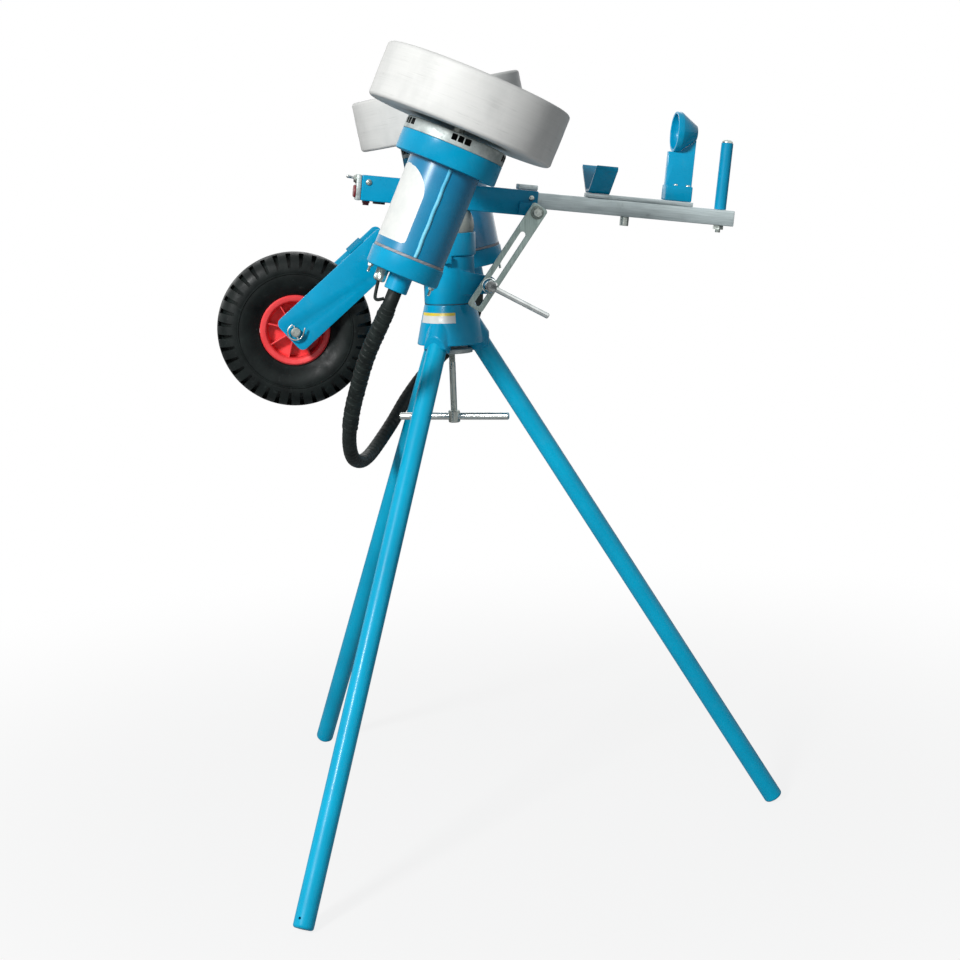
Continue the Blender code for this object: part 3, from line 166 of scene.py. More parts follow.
# Wiring hose
# A flexible conduit wound with overlapping black rubber tape, hung between the two motors
# below the ball joint. A plain heat-shrunk sleeve closes it on each motor's boss.
hose_route = [
    (-0.1847, -0.2416, 0.9174), (-0.1938, -0.2414, 0.8974), (-0.2018, -0.2320, 0.8792),
    (-0.2101, -0.2238, 0.8606), (-0.2181, -0.2138, 0.8427), (-0.2253, -0.2028, 0.8251),
    (-0.2315, -0.1918, 0.8071), (-0.2367, -0.1810, 0.7898), (-0.2413, -0.1695, 0.7716),
    (-0.2459, -0.1577, 0.7536), (-0.2502, -0.1457, 0.7357), (-0.2535, -0.1339, 0.7174),
    (-0.2559, -0.1218, 0.6992), (-0.2572, -0.1081, 0.6821), (-0.2570, -0.0928, 0.6663),
    (-0.2552, -0.0765, 0.6515), (-0.2520, -0.0583, 0.6397), (-0.2477, -0.0385, 0.6311),
    (-0.2420, -0.0182, 0.6248), (-0.2353, 0.0023, 0.6207), (-0.2282, 0.0220, 0.6196),
    (-0.2200, 0.0423, 0.6216), (-0.2106, 0.0612, 0.6275), (-0.2005, 0.0788, 0.6361),
    (-0.1903, 0.0958, 0.6457), (-0.1799, 0.1121, 0.6562), (-0.1693, 0.1273, 0.6679),
    (-0.1586, 0.1414, 0.6811), (-0.1476, 0.1542, 0.6952), (-0.1353, 0.1653, 0.7097),
    (-0.1220, 0.1744, 0.7246), (-0.1077, 0.1822, 0.7395), (-0.0922, 0.1885, 0.7537),
    (-0.0760, 0.1933, 0.7678), (-0.0603, 0.1965, 0.7814), (-0.0440, 0.1986, 0.7960),
    (-0.0293, 0.2004, 0.8123), (-0.0172, 0.2017, 0.8306), (-0.0110, 0.2023, 0.8516),
    (-0.0086, 0.2024, 0.8735), (-0.0121, 0.2025, 0.8950),
]
hose_length = 0.877
sleeve_r, sleeve_lip = 0.0110, 0.0010
sleeve_near, sleeve_far = 0.034, 0.040
sleeve_band = 0.0265
tape_pitch = 0.0105
thick_tape_end = 0.268
thick_tape_r, thick_tape_step = 0.0120, 0.0011
thin_tape_r, thin_tape_step = 0.0112, 0.00045
lead_r = 0.0026


def evenly(points, step):
    """Points a step apart on the smooth curve through a route's points."""
    points = [Vector(p) for p in points]
    ends = [points[0] * 2 - points[1]] + points + [points[-1] * 2 - points[-2]]
    fine = []
    for a, b, c, d in zip(ends, ends[1:], ends[2:], ends[3:]):
        for i in range(24):
            t = i / 24
            fine.append(0.5 * (2 * b + (c - a) * t + (2 * a - 5 * b + 4 * c - d) * t * t
                               + (3 * b - a - 3 * c + d) * t ** 3))
    fine.append(points[-1])
    travelled = [0.0]
    for a, b in zip(fine, fine[1:]):
        travelled.append(travelled[-1] + (b - a).length)
    count = max(2, round(travelled[-1] / step))
    route = []
    j = 0
    for i in range(count + 1):
        want = travelled[-1] * i / count
        while j < len(travelled) - 2 and travelled[j + 1] < want:
            j += 1
        share = (want - travelled[j]) / max(1e-9, travelled[j + 1] - travelled[j])
        route.append(fine[j].lerp(fine[j + 1], share))
    return route


def wound_tube(name, route, radius_at, around):
    """A closed tube along a route. radius_at takes the distance run and the angle around."""
    shape = bmesh.new()
    rings = []
    side = Vector((0, 0, 1)).cross(route[1] - route[0]).normalized()
    if side.length < 0.5:
        side = Vector((1, 0, 0))
    run = 0.0
    for i, point in enumerate(route):
        ahead = (route[min(i + 1, len(route) - 1)] - route[max(i - 1, 0)]).normalized()
        side = (side - ahead * side.dot(ahead)).normalized()
        other = ahead.cross(side)
        if i:
            run += (point - route[i - 1]).length
        ring = []
        for k in range(around):
            angle = math.tau * k / around
            r = radius_at(run, angle)
            spot = point + side * (r * math.cos(angle)) + other * (r * math.sin(angle))
            ring.append(shape.verts.new(spot))
        rings.append(ring)
    for a, b in zip(rings, rings[1:]):
        for k in range(around):
            shape.faces.new((a[k], a[(k + 1) % around], b[(k + 1) % around], b[k]))
    shape.faces.new(list(reversed(rings[0])))
    shape.faces.new(rings[-1])
    return from_shape(name, shape)


def from_shape(name, shape):
    """An object made of a new shape, with its faces turned outwards."""
    bmesh.ops.recalc_face_normals(shape, faces=shape.faces)
    mesh = bpy.data.meshes.new(name)
    shape.to_mesh(mesh)
    shape.free()
    piece = bpy.data.objects.new(name, mesh)
    scene.collection.objects.link(piece)
    return piece


def new_finish(name, colour, roughness, metallic=0.0):
    """A material and its shader, with the values that are the same all over."""
    material = bpy.data.materials.new(name)
    material.use_nodes = True
    shader = material.node_tree.nodes["Principled BSDF"]
    shader.inputs["Base Color"].default_value = screen(colour)
    shader.inputs["Roughness"].default_value = roughness
    shader.inputs["Metallic"].default_value = metallic
    material.diffuse_color = screen(colour)
    return material, shader


def mottle(material, scale, detail=4.0, stretch=(1, 1, 1), turn=(0, 0, 0), centre=(0, 0, 0)):
    """Cloudy noise on the piece's own coordinates, stretched where it is brushed or worn."""
    tree = material.node_tree
    coordinates = add_node(tree, "TexCoord")
    mapping = add_node(
        tree, "Mapping",
        {"Location": centre, "Rotation": turn, "Scale": [1 / s for s in stretch]},
        vector_type="TEXTURE",
    )
    noise = add_node(tree, "TexNoise", {"Scale": scale, "Detail": detail, "Roughness": 0.6})
    wire(tree, (coordinates, "Object", mapping, "Vector"), (mapping, "Vector", noise, "Vector"))
    return noise.outputs["Fac"]


def between(material, socket, low, high, start=0.35, stop=0.65):
    """A share of noise spread over a range of values."""
    spread = add_node(
        material.node_tree, "MapRange",
        {"From Min": start, "From Max": stop, "To Min": low, "To Max": high},
    )
    material.node_tree.links.new(socket, spread.inputs["Value"])
    return spread.outputs["Result"]


def stain(material, under, over, share):
    """Colour under a stain or dust of another colour, mixed by a share."""
    links = material.node_tree.links
    mix = add_node(material.node_tree, "Mix", data_type="RGBA")
    for socket, colour in ((mix.inputs[6], under), (mix.inputs[7], over)):
        if isinstance(colour, (tuple, list)):
            socket.default_value = screen(colour)
        else:
            links.new(colour, socket)
    links.new(share, mix.inputs["Factor"])
    return mix.outputs[2]


def relief(material, shader, height, strength, depth):
    """Fine bumps from a share of noise."""
    bump = add_node(material.node_tree, "Bump", {"Strength": strength, "Distance": depth})
    material.node_tree.links.new(height, bump.inputs["Height"])
    material.node_tree.links.new(bump.outputs["Normal"], shader.inputs["Normal"])


def aged_finish(name, colour, roughness, metallic, tones, clouds, marks=None, gloss=None, bumps=None):
    """Two mottled tones, then marks of wear, uneven gloss and fine bumps where a finish has them.

    clouds: noise and strength. marks: colour, noise, strength and the noise's range.
    gloss: noise, lowest and highest roughness. bumps: noise, strength and depth.
    """
    material, shader = new_finish(name, colour, roughness, metallic)
    links = material.node_tree.links
    noise, strength = clouds
    shade = stain(material, *tones, between(material, mottle(material, *noise), 0, strength))
    if marks:
        over, noise, strength, start, stop = marks
        share = between(material, mottle(material, *noise), 0, strength, start, stop)
        shade = stain(material, shade, over, share)
    links.new(shade, shader.inputs["Base Color"])
    if gloss:
        noise, low, high = gloss
        links.new(between(material, mottle(material, *noise), low, high), shader.inputs["Roughness"])
    if bumps:
        noise, strength, depth = bumps
        relief(material, shader, mottle(material, *noise), strength, depth)
    return material, shader


tape_rubber, tape_shader = aged_finish(
    "wound_rubber_tape", (20, 24, 25), 0.5, 0.0,
    tones=((14, 20, 19), (34, 42, 40)), clouds=((55,), 0.8),
    gloss=((160,), 0.38, 0.7), bumps=((420,), 0.35, 0.0004),
)
tape_shader.inputs["Specular IOR Level"].default_value = 0.2


def taped_radius(run, angle):
    """Each turn steps up over the last one and slants down: thick by the near sleeve, thin below."""
    if run < sleeve_band or run > hose_length - sleeve_far:
        return sleeve_r
    if run < sleeve_near:
        return sleeve_r + sleeve_lip
    lay = (run / tape_pitch + angle / math.tau) % 1.0
    turn_shape = 1.0 - 0.9 * lay ** 1.4
    if run < thick_tape_end:
        uneven = 0.00022 * math.sin(run * 331) + 0.00018 * math.sin(run * 817)
        return thick_tape_r + uneven + thick_tape_step * turn_shape
    return thin_tape_r + thin_tape_step * turn_shape


hose = wound_tube("taped_hose", evenly(hose_route, 0.0009), taped_radius, 28)
hose.data.materials.append(tape_rubber)
hose.data.shade_smooth()
hose.data.set_sharp_from_angle(angle=math.radians(32))
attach(hose, "head")
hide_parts("wiring_hose", "hose_sleeve_near", "hose_sleeve_far")

lead_route = evenly([
    (-0.2092, -0.2416, 0.9345), (-0.2110, -0.2416, 0.9275), (-0.2130, -0.2416, 0.9200),
    (-0.2146, -0.2416, 0.9130), (-0.2147, -0.2416, 0.9085), (-0.2118, -0.2416, 0.9062),
    (-0.2070, -0.2416, 0.9065), (-0.2015, -0.2416, 0.9075),
], 0.001)
lead = wound_tube("motor_lead_near", lead_route, lambda run, angle: lead_r, 16)
lead.data.materials.append(tape_rubber)
lead.data.shade_smooth()
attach(lead, "head")
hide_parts("motor_lead")


# Tripod legs
# Three 1 1/4 inch steel tubes, powder-coated sky blue, capped and slightly rounded at the foot.
# Their upper ends are driven into the lobes of the cone.
leg_r = 0.015875
leg_reach = 0.5264
leg_top_reach = 0.0459
leg_top_z = 0.8143
leg_insert = 0.034
foot_round = 0.0045
foot_hole_r, foot_hole_z = 0.0022, 0.014
foot_trim_z = 0.00002
leg_azimuths = {"leg_right": -4.3, "leg_front": -124.3, "leg_rear": 115.7}


def pick(piece):
    """Select one piece alone and make it the active one."""
    let_go()
    piece.select_set(True)
    bpy.context.view_layer.objects.active = piece


def turned(stations, sides=64, bore=False):
    """A lathe piece about Z, drawn out from station to station, each a radius and a height."""
    let_go()
    radius, height = stations[0]
    bpy.ops.mesh.primitive_circle_add(
        vertices=sides, radius=radius, fill_type="NOTHING" if bore else "NGON", location=(0, 0, height)
    )
    piece = bpy.context.object
    bpy.ops.object.transform_apply(location=True, rotation=True, scale=True)
    bpy.ops.object.mode_set(mode="EDIT")
    bpy.ops.mesh.select_all(action="SELECT")
    for (r0, z0), (r1, z1) in zip(stations, stations[1:]):
        bpy.ops.mesh.extrude_region_move(TRANSFORM_OT_translate={"value": (0, 0, z1 - z0)})
        bpy.ops.transform.resize(value=(r1 / r0, r1 / r0, 1), center_override=(0, 0, z1))
    bpy.ops.mesh.select_all(action="SELECT")
    if bore:
        bpy.ops.mesh.remove_doubles(threshold=0.000001)
    bpy.ops.mesh.normals_make_consistent(inside=False)
    bpy.ops.object.mode_set(mode="OBJECT")
    return piece


def apply_all(piece):
    """Apply the modifiers of a piece in their order."""
    pick(piece)
    for modifier in list(piece.modifiers):
        bpy.ops.object.modifier_apply(modifier=modifier.name)


def soften(piece, width, segments, limit):
    """Round the edges of a piece that are sharper than a limit in degrees."""
    bevel = piece.modifiers.new("soften", "BEVEL")
    bevel.width = width
    bevel.segments = segments
    bevel.limit_method = "ANGLE"
    bevel.angle_limit = math.radians(limit)
    bevel.use_clamp_overlap = True
    apply_all(piece)


def shape_with(piece, tool, operation="DIFFERENCE"):
    """Cut a piece with a tool, or weld the tool to it. The tool is used up."""
    boolean = piece.modifiers.new("shape", "BOOLEAN")
    boolean.operation = operation
    boolean.solver = "EXACT"
    boolean.object = tool
    apply_all(piece)
    bpy.data.objects.remove(tool, do_unlink=True)


def put(piece, place):
    """Move a piece by a matrix, with the move kept in its mesh."""
    pick(piece)
    piece.matrix_world = place @ piece.matrix_world
    bpy.ops.object.transform_apply(location=True, rotation=True, scale=True)
    return piece


def settle(piece, name, place, body, finish, angle=32):
    """A finished piece in its place, shaded and in its finish, that rides on its body."""
    put(piece, place)
    piece.name = name
    piece.data.name = name
    bpy.ops.object.shade_smooth_by_angle(angle=math.radians(angle))
    piece.data.materials.clear()
    piece.data.materials.append(finish)
    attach(piece, body)


def bar(start, end, radius, sides=40, edge=0.0):
    """A round bar between two points."""
    run = Vector(end) - Vector(start)
    if edge:
        stations = [(radius - edge, 0), (radius, edge), (radius, run.length - edge),
                    (radius - edge, run.length)]
    else:
        stations = [(radius, 0), (radius, run.length)]
    turn = run.to_track_quat("Z", "Y").to_matrix().to_4x4()
    return put(turned(stations, sides), Matrix.Translation(start) @ turn)


def arc(centre_r, centre_z, r, start, stop, steps):
    """Stations on an arc between two angles in degrees."""
    angles = [math.radians(start + (stop - start) * i / steps) for i in range(steps + 1)]
    return [(centre_r + r * math.cos(a), centre_z + r * math.sin(a)) for a in angles]


def sky_blue(name, wear=0.35, gloss=0.3, low=(0, 138, 178), high=(0, 152, 194)):
    """Sky-blue powder coat with fine orange peel, faint dust and a thin clear gloss."""
    paint, shader = new_finish(name, (0, 138, 180), gloss)
    shader.inputs["Specular IOR Level"].default_value = 0.16
    shader.inputs["Coat Weight"].default_value = 0.08
    shader.inputs["Coat Roughness"].default_value = 0.12
    shade = stain(paint, low, high, between(paint, mottle(paint, 9), 0, 1))
    dust = between(paint, mottle(paint, 38, detail=8), 0, wear, 0.56, 0.8)
    dusty = stain(paint, shade, (58, 152, 182), dust)
    scuff = between(paint, mottle(paint, 130, detail=10), 0, wear, 0.69, 0.76)
    worn = stain(paint, dusty, (0, 90, 122), scuff)
    paint.node_tree.links.new(worn, shader.inputs["Base Color"])
    sheen = between(paint, mottle(paint, 26, detail=6), gloss - 0.04, gloss + 0.14)
    paint.node_tree.links.new(sheen, shader.inputs["Roughness"])
    relief(paint, shader, mottle(paint, 520, detail=2), 0.1, 0.0005)
    return paint


tube_paint = sky_blue("sky_blue_powder_coat_on_tube", wear=0.3, low=(0, 153, 190), high=(0, 166, 204))
stand_place = Matrix.Translation((ground_x, ground_y, 0))
rough_tilt = math.atan((leg_reach - leg_top_reach) / leg_top_z)
foot_z = (leg_r - foot_round) * math.sin(rough_tilt) + foot_round * (1 - math.cos(rough_tilt)) - 0.001
leg_tilt = math.atan((leg_reach - leg_top_reach) / (leg_top_z - foot_z))
leg_to_cone = (leg_top_z - foot_z) / math.cos(leg_tilt)
leg_places = {}
for name, azimuth in leg_azimuths.items():
    angle = math.radians(azimuth)
    leg_places[name] = (
        stand_place
        @ Matrix.Translation((leg_reach * math.cos(angle), leg_reach * math.sin(angle), foot_z))
        @ Matrix.Rotation(angle, 4, "Z") @ Matrix.Rotation(-leg_tilt, 4, "Y")
    )
    leg = turned(
        [(leg_r - foot_round, 0)] + arc(leg_r - foot_round, foot_round, foot_round, -75, 0, 6)
        + [(leg_r, leg_to_cone + leg_insert)],
        72,
    )
    shape_with(leg, bar((0, 0, foot_hole_z), (0.04, 0, foot_hole_z), foot_hole_r, 24))
    put(leg, leg_places[name])
    pick(leg)
    bpy.ops.object.mode_set(mode="EDIT")
    bpy.ops.mesh.select_all(action="SELECT")
    bpy.ops.mesh.bisect(plane_co=(0, 0, foot_trim_z), plane_no=(0, 0, -1), clear_outer=True, use_fill=True)
    bpy.ops.object.mode_set(mode="OBJECT")
    settle(leg, name + "_tube", Matrix.Identity(4), "stand", tube_paint)
    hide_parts(name)


# Tripod cone
# A blue-painted casting with a lobe for each leg. The swivel turns on its flat top, and the
# screw of the T bar comes up through its middle. Fillets and faint casting waves show all over.
cone_top_z = 0.8775
cone_top_r = 0.0415
cone_height = 0.0655
cone_belly_r = 0.0560
cone_limit_r = 0.0620
cone_low = cone_top_z - cone_height
lobe_r = leg_r + 0.0055
cast_grain = 0.0011
screw_hole_r = 0.0062


def cast_over(piece, voxel, rounds):
    """Melt a welded shape into one skin with soft fillets, as a sand casting has."""
    remesh = piece.modifiers.new("skin", "REMESH")
    remesh.mode = "VOXEL"
    remesh.voxel_size = voxel
    remesh.use_smooth_shade = True
    relax = piece.modifiers.new("relax", "SMOOTH")
    relax.factor = 0.5
    relax.iterations = rounds
    apply_all(piece)


def along_leg(name, start, end, radius, sides):
    """A bar on a leg's line, seen from the middle of the stand."""
    from_ground = Matrix.Translation((-ground_x, -ground_y, 0)) @ leg_places[name]
    return put(bar((0, 0, start), (0, 0, end), radius, sides), from_ground)


cast_paint = sky_blue("sky_blue_on_casting", wear=0.5, gloss=0.27)
cone = turned(
    [(cone_top_r, cone_top_z)]
    + [(cone_top_r + (cone_belly_r - cone_top_r) * (1.1 * t - 0.1 * t * t), cone_top_z - cone_height * t)
       for t in (0.11, 0.22, 0.33, 0.44, 0.56, 0.67, 0.78, 0.89, 1.0)],
    96,
)
for name in leg_azimuths:
    lobe = along_leg(name, leg_to_cone - 0.012, leg_to_cone + leg_insert + leg_r, lobe_r, 64)
    shape_with(cone, lobe, "UNION")
limit = turned(
    [(cone_top_r, cone_top_z), (cone_limit_r, cone_top_z - cone_height * 0.62),
     (cone_limit_r, cone_low - 0.012)],
    96,
)
shape_with(cone, limit, "INTERSECT")
cast_over(cone, cast_grain, 4)
for name in leg_azimuths:
    shape_with(cone, along_leg(name, leg_to_cone - 0.08, leg_to_cone + leg_insert, leg_r + 0.0002, 64))
shape_with(cone, bar((0, 0, 0.76), (0, 0, 0.868), screw_hole_r, 40))
settle(cone, "cast_cone", stand_place, "stand", cast_paint, 50)
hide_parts("tripod_cone")

# Blank sticker on the cone's front: a plain yellow band over plain white vinyl.
sticker_left, sticker_right = -170, -86
sticker_high, sticker_low, band_low = 0.8650, 0.8485, 0.8604
vinyl_thick = 0.00012
label_vinyl, _ = aged_finish(
    "sticker_white_vinyl", (214, 215, 211), 0.35, 0.0,
    tones=((216, 217, 213), (204, 207, 204)), clouds=((60,), 0.7),
)
band_vinyl, _ = aged_finish(
    "sticker_yellow_vinyl", (226, 200, 60), 0.35, 0.0,
    tones=((228, 203, 66), (205, 184, 70)), clouds=((80,), 0.7),
)


def wrapped_sheet(name, skin, place, rays, across, down, lift, finish, body):
    """A thin sticker laid over a skin: a grid that is cast onto it along its rays."""
    shape = bmesh.new()
    rows = []
    to_skin = skin.matrix_world.inverted()
    for j in range(down + 1):
        row = []
        for i in range(across + 1):
            start, way = rays(i / across, j / down)
            hit = skin.ray_cast(to_skin @ (place @ start), to_skin.to_3x3() @ (place.to_3x3() @ way))
            spot, normal = hit[1], hit[2]
            out = (skin.matrix_world.to_3x3() @ normal) * lift
            row.append(shape.verts.new(skin.matrix_world @ spot + out))
        rows.append(row)
    for a, b in zip(rows, rows[1:]):
        for i in range(across):
            shape.faces.new((a[i], a[i + 1], b[i + 1], b[i]))
    sheet = from_shape(name, shape)
    thick = sheet.modifiers.new("thick", "SOLIDIFY")
    thick.thickness = vinyl_thick
    thick.offset = 1.0
    apply_all(sheet)
    settle(sheet, name, Matrix.Identity(4), body, finish, 60)


def rays_inward(angle_at, high, low):
    """Rays toward an upright line between two heights. angle_at takes the share across and the height."""
    def ray(u, v):
        z = high + (low - high) * v
        angle = math.radians(angle_at(u, z))
        start = Vector((0.2 * math.cos(angle), 0.2 * math.sin(angle), z))
        return start, Vector((-math.cos(angle), -math.sin(angle), 0))
    return ray


def sticker_angle(u, z):
    """Angle round the cone at a share of the sticker's width."""
    return sticker_left + (sticker_right - sticker_left) * u


wrapped_sheet("cone_sticker", cone, stand_place, rays_inward(sticker_angle, sticker_high, sticker_low),
              24, 4, 0.00015, label_vinyl, "stand")
wrapped_sheet("cone_sticker_band", cone, stand_place, rays_inward(sticker_angle, sticker_high, band_low),
              24, 2, 0.0003, band_vinyl, "stand")


# Base disc and clamp screw
# A grey cast disc closes the cone from below. The zinc-plated screw with its sliding T bar
# clamps the swivel where it is turned.
cast_grey, _ = aged_finish(
    "raw_grey_casting", (164, 172, 170), 0.5, 0.3,
    tones=((150, 159, 157), (186, 193, 190)), clouds=((60, 8), 1),
    marks=((98, 106, 103), (150, 10), 0.8, 0.62, 0.76),
    gloss=((90,), 0.4, 0.66), bumps=((330, 6), 0.35, 0.0006),
)
gap = 0.0003
disc_r, disc_low, disc_high, disc_edge = 0.0360, cone_low - 0.0150, cone_low - 0.0070, 0.0015
t_bar_z, t_bar_turn, t_bar_half, t_bar_r = 0.6910, -20, 0.092, 0.0060
screw_r, thread_depth, thread_pitch = 0.0053, 0.0006, 0.0009
screw_top = cone_top_z - t_bar_z - 0.010


def plated(name, colour, roughness, along):
    """Bright plated or drawn metal with fine lines along its length."""
    stretch = [30.0, 30.0, 30.0]
    stretch[along] = 2.0
    lines = (14, 6, stretch)
    dark = [max(0, channel - 34) for channel in colour]
    metal, _ = aged_finish(
        name, colour, roughness, 1.0, tones=(colour, dark), clouds=(lines, 0.8),
        gloss=((70, 6), roughness - 0.06, roughness + 0.14), bumps=(lines, 0.08, 0.0003),
    )
    return metal


zinc_upright = plated("zinc_plate_upright", (190, 196, 190), 0.28, 2)
zinc_level = plated("zinc_plate_level", (218, 223, 220), 0.22, 0)
disc = turned(
    [(screw_hole_r, cone_low - gap), (0.0140, cone_low - gap), (0.0140, disc_high),
     (disc_r - disc_edge, disc_high), (disc_r, disc_high - disc_edge), (disc_r, disc_low + disc_edge),
     (disc_r - disc_edge, disc_low), (screw_hole_r, disc_low), (screw_hole_r, cone_low - gap)],
    80, bore=True,
)
for name in leg_azimuths:
    shape_with(disc, along_leg(name, leg_to_cone - 0.08, leg_to_cone + leg_insert, lobe_r + 0.0009, 48))
settle(disc, "cast_disc", stand_place, "stand", cast_grey)
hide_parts("base_disc")

t_place = (stand_place @ Matrix.Translation((0, 0, t_bar_z))
           @ Matrix.Rotation(math.radians(t_bar_turn), 4, "Z"))
screw = turned(
    [(0.0080, -0.0100), (0.0095, -0.0088), (0.0095, 0.0088), (0.0080, 0.0100), (screw_r, 0.0100),
     (screw_r, 0.0900)]
    + [(screw_r - thread_depth * (i % 2), 0.0900 + thread_pitch * i) for i in range(1, 54)]
    + [(screw_r, screw_top - 0.001), (screw_r - 0.001, screw_top)],
    48,
)
shape_with(screw, bar((-0.02, 0, 0), (0.02, 0, 0), t_bar_r + 0.0001, 40))
settle(screw, "clamp_screw", t_place, "t_handle", zinc_upright)
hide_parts("clamp_rod")
t_bar = bar((-t_bar_half, 0, 0), (t_bar_half, 0, 0), t_bar_r, 48, 0.0012)
shape_with(t_bar, bar((-0.088, 0, 0.0068), (-0.088, 0, 0.0052), 0.0011, 16))
settle(t_bar, "sliding_t_bar", t_place, "t_handle", zinc_level)
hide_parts("t_bar")


# Swivel housing
# One casting turns on the cone: a round body, the ear of the elevation stud with its web, and
# at the back the stem with the cross tube that the carrying fork is bolted to.
housing_low = cone_top_z + gap
housing_high = housing_low + 0.0770
housing_r, housing_edge = 0.0415, 0.001
ear_x, ear_z = 0.0586, 0.9070
ear_r, ear_root_x = 0.0145, 0.010
ear_face_y, ear_thick = -0.0390, 0.010
web_root_x, web_y = 0.030, -0.024
cross_x, cross_z = -0.078, 0.944
cross_half, cross_r, stem_r = 0.0472, 0.0140, 0.0105
stud_hole_r, bolt_hole_r = 0.0047, 0.0045
seam_inner_r = 0.0380


def flat_bar(outline, low, high):
    """A flat piece cut from plate: an outline in X and Y, drawn up from one height to another."""
    let_go()
    bpy.ops.mesh.primitive_circle_add(vertices=len(outline), radius=0.01, fill_type="NGON")
    piece = bpy.context.object
    for vertex, (x, y) in zip(piece.data.vertices, outline):
        vertex.co = (x, y, low)
    bpy.ops.object.mode_set(mode="EDIT")
    bpy.ops.mesh.select_all(action="SELECT")
    bpy.ops.mesh.extrude_region_move(TRANSFORM_OT_translate={"value": (0, 0, high - low)})
    bpy.ops.mesh.select_all(action="SELECT")
    bpy.ops.mesh.normals_make_consistent(inside=False)
    bpy.ops.object.mode_set(mode="OBJECT")
    return piece


def round_corners(low, high, radius, steps=8):
    """Outline of a rectangle with round corners."""
    (x0, y0), (x1, y1) = low, high
    corners = ((x1 - radius, y1 - radius, 0), (x0 + radius, y1 - radius, 90),
               (x0 + radius, y0 + radius, 180), (x1 - radius, y0 + radius, 270))
    points = []
    for x, y, start in corners:
        points += arc(x, y, radius, start, start + 90, steps)
    return points


# Turns a plate drawn in X and Y to stand up facing the near side
stand_up = Matrix.Rotation(math.radians(90), 4, "X")
housing = turned([(housing_r - housing_edge, housing_low), (housing_r, housing_low + housing_edge),
                  (housing_r, housing_high - housing_edge), (housing_r - housing_edge, housing_high)], 96)
ear_outline = ([(ear_root_x, ear_z - ear_r)] + arc(ear_x, ear_z, ear_r, -90, 90, 12)
               + [(ear_root_x, ear_z + 0.0265)])
web_outline = [(web_root_x, ear_z - ear_r), (ear_x + 0.004, ear_z - ear_r / 2),
               (ear_x + 0.004, ear_z + ear_r / 5), (web_root_x, ear_z + ear_r)]
for outline, y in ((ear_outline, ear_face_y + ear_thick / 2), (web_outline, web_y)):
    plate = put(flat_bar(outline, -ear_thick / 2, ear_thick / 2), Matrix.Translation((0, y, 0)) @ stand_up)
    shape_with(housing, plate, "UNION")
shape_with(housing, bar((0, 0, cross_z), (cross_x, 0, cross_z), stem_r, 48), "UNION")
cast_over(housing, cast_grain, 4)
ear_boss = bar((ear_x, ear_face_y + ear_thick / 2, ear_z), (ear_x, -0.0494, ear_z), 0.0105, 48)
shape_with(housing, ear_boss, "UNION")
cross_tube = bar((cross_x, -cross_half, cross_z), (cross_x, cross_half, cross_z), cross_r, 64)
shape_with(housing, cross_tube, "UNION")
shape_with(housing, bar((ear_x, -0.1, ear_z), (ear_x, ear_face_y + 0.008, ear_z), stud_hole_r, 32))
shape_with(housing, bar((cross_x, -0.1, cross_z), (cross_x, 0.1, cross_z), bolt_hole_r, 32))
settle(housing, "cast_swivel_housing", stand_place, "swivel", cast_paint, 40)
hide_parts("swivel_housing")

seam_dark, _ = aged_finish(
    "dark_greased_joint", (30, 44, 50), 0.6, 0.0, tones=((24, 34, 38), (70, 92, 98)), clouds=((70,), 0.7),
)
seam_outer_r = cone_top_r - 0.0002
seam_low, seam_high = cone_top_z - 0.0002, housing_low + 0.0006
seam = turned([(seam_inner_r, seam_low), (seam_outer_r, seam_low), (seam_outer_r, seam_high),
               (seam_inner_r, seam_high), (seam_inner_r, seam_low)], 96, bore=True)
settle(seam, "greased_seam", stand_place, "swivel", seam_dark)


# Ball cup and ball
# The painted cup with its pinch lug holds a grey iron ball, ground flat on top under the beam.
ball_z, ball_r, ball_flat = 1.0031, 0.0434, 0.0270
ball_low_r = 0.002
cup_low = housing_high + gap
cup_high = cup_low + 0.0365
cup_r = 0.0450
seat_r = ball_r + 0.001
head_pitch = 7.4
rim_angle = math.degrees(math.asin((cup_high - ball_z) / seat_r))
seat = arc(0, ball_z, seat_r, rim_angle, -86, 28)
cup = turned(
    [(seat[-1][0], cup_low), (cup_r - 0.0015, cup_low), (cup_r, cup_low + 0.0015), (cup_r, cup_high - 0.0010),
     (cup_r - 0.0004, cup_high - 0.0003), (cup_r - 0.0008, cup_high)] + seat + [(seat[-1][0], cup_low)],
    96, bore=True,
)


def block(low, high, edge=0.001, segments=3):
    """A block between two corners, with its edges rounded."""
    let_go()
    middle = [(a + b) / 2 for a, b in zip(low, high)]
    bpy.ops.mesh.primitive_cube_add(size=1, location=middle)
    piece = bpy.context.object
    piece.scale = [b - a for a, b in zip(low, high)]
    bpy.ops.object.transform_apply(location=True, rotation=True, scale=True)
    if edge:
        bpy.ops.object.mode_set(mode="EDIT")
        bpy.ops.mesh.select_all(action="SELECT")
        bpy.ops.mesh.bevel(offset=edge, segments=segments, affect="EDGES")
        bpy.ops.object.mode_set(mode="OBJECT")
    return piece


lug = block((-0.0145, -cup_r - 0.0085, housing_high - 0.0105),
            (0, -housing_r + 0.0045, housing_high + 0.0020), 0.0012)
lug_relief = bar((0, 0, housing_high - 0.05), (0, 0, housing_high + 0.00015), housing_r + 0.0007, 96)
shape_with(lug, lug_relief)
shape_with(cup, lug, "UNION")
settle(cup, "painted_ball_cup", stand_place, "swivel", cast_paint, 40)
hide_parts("ball_cup")

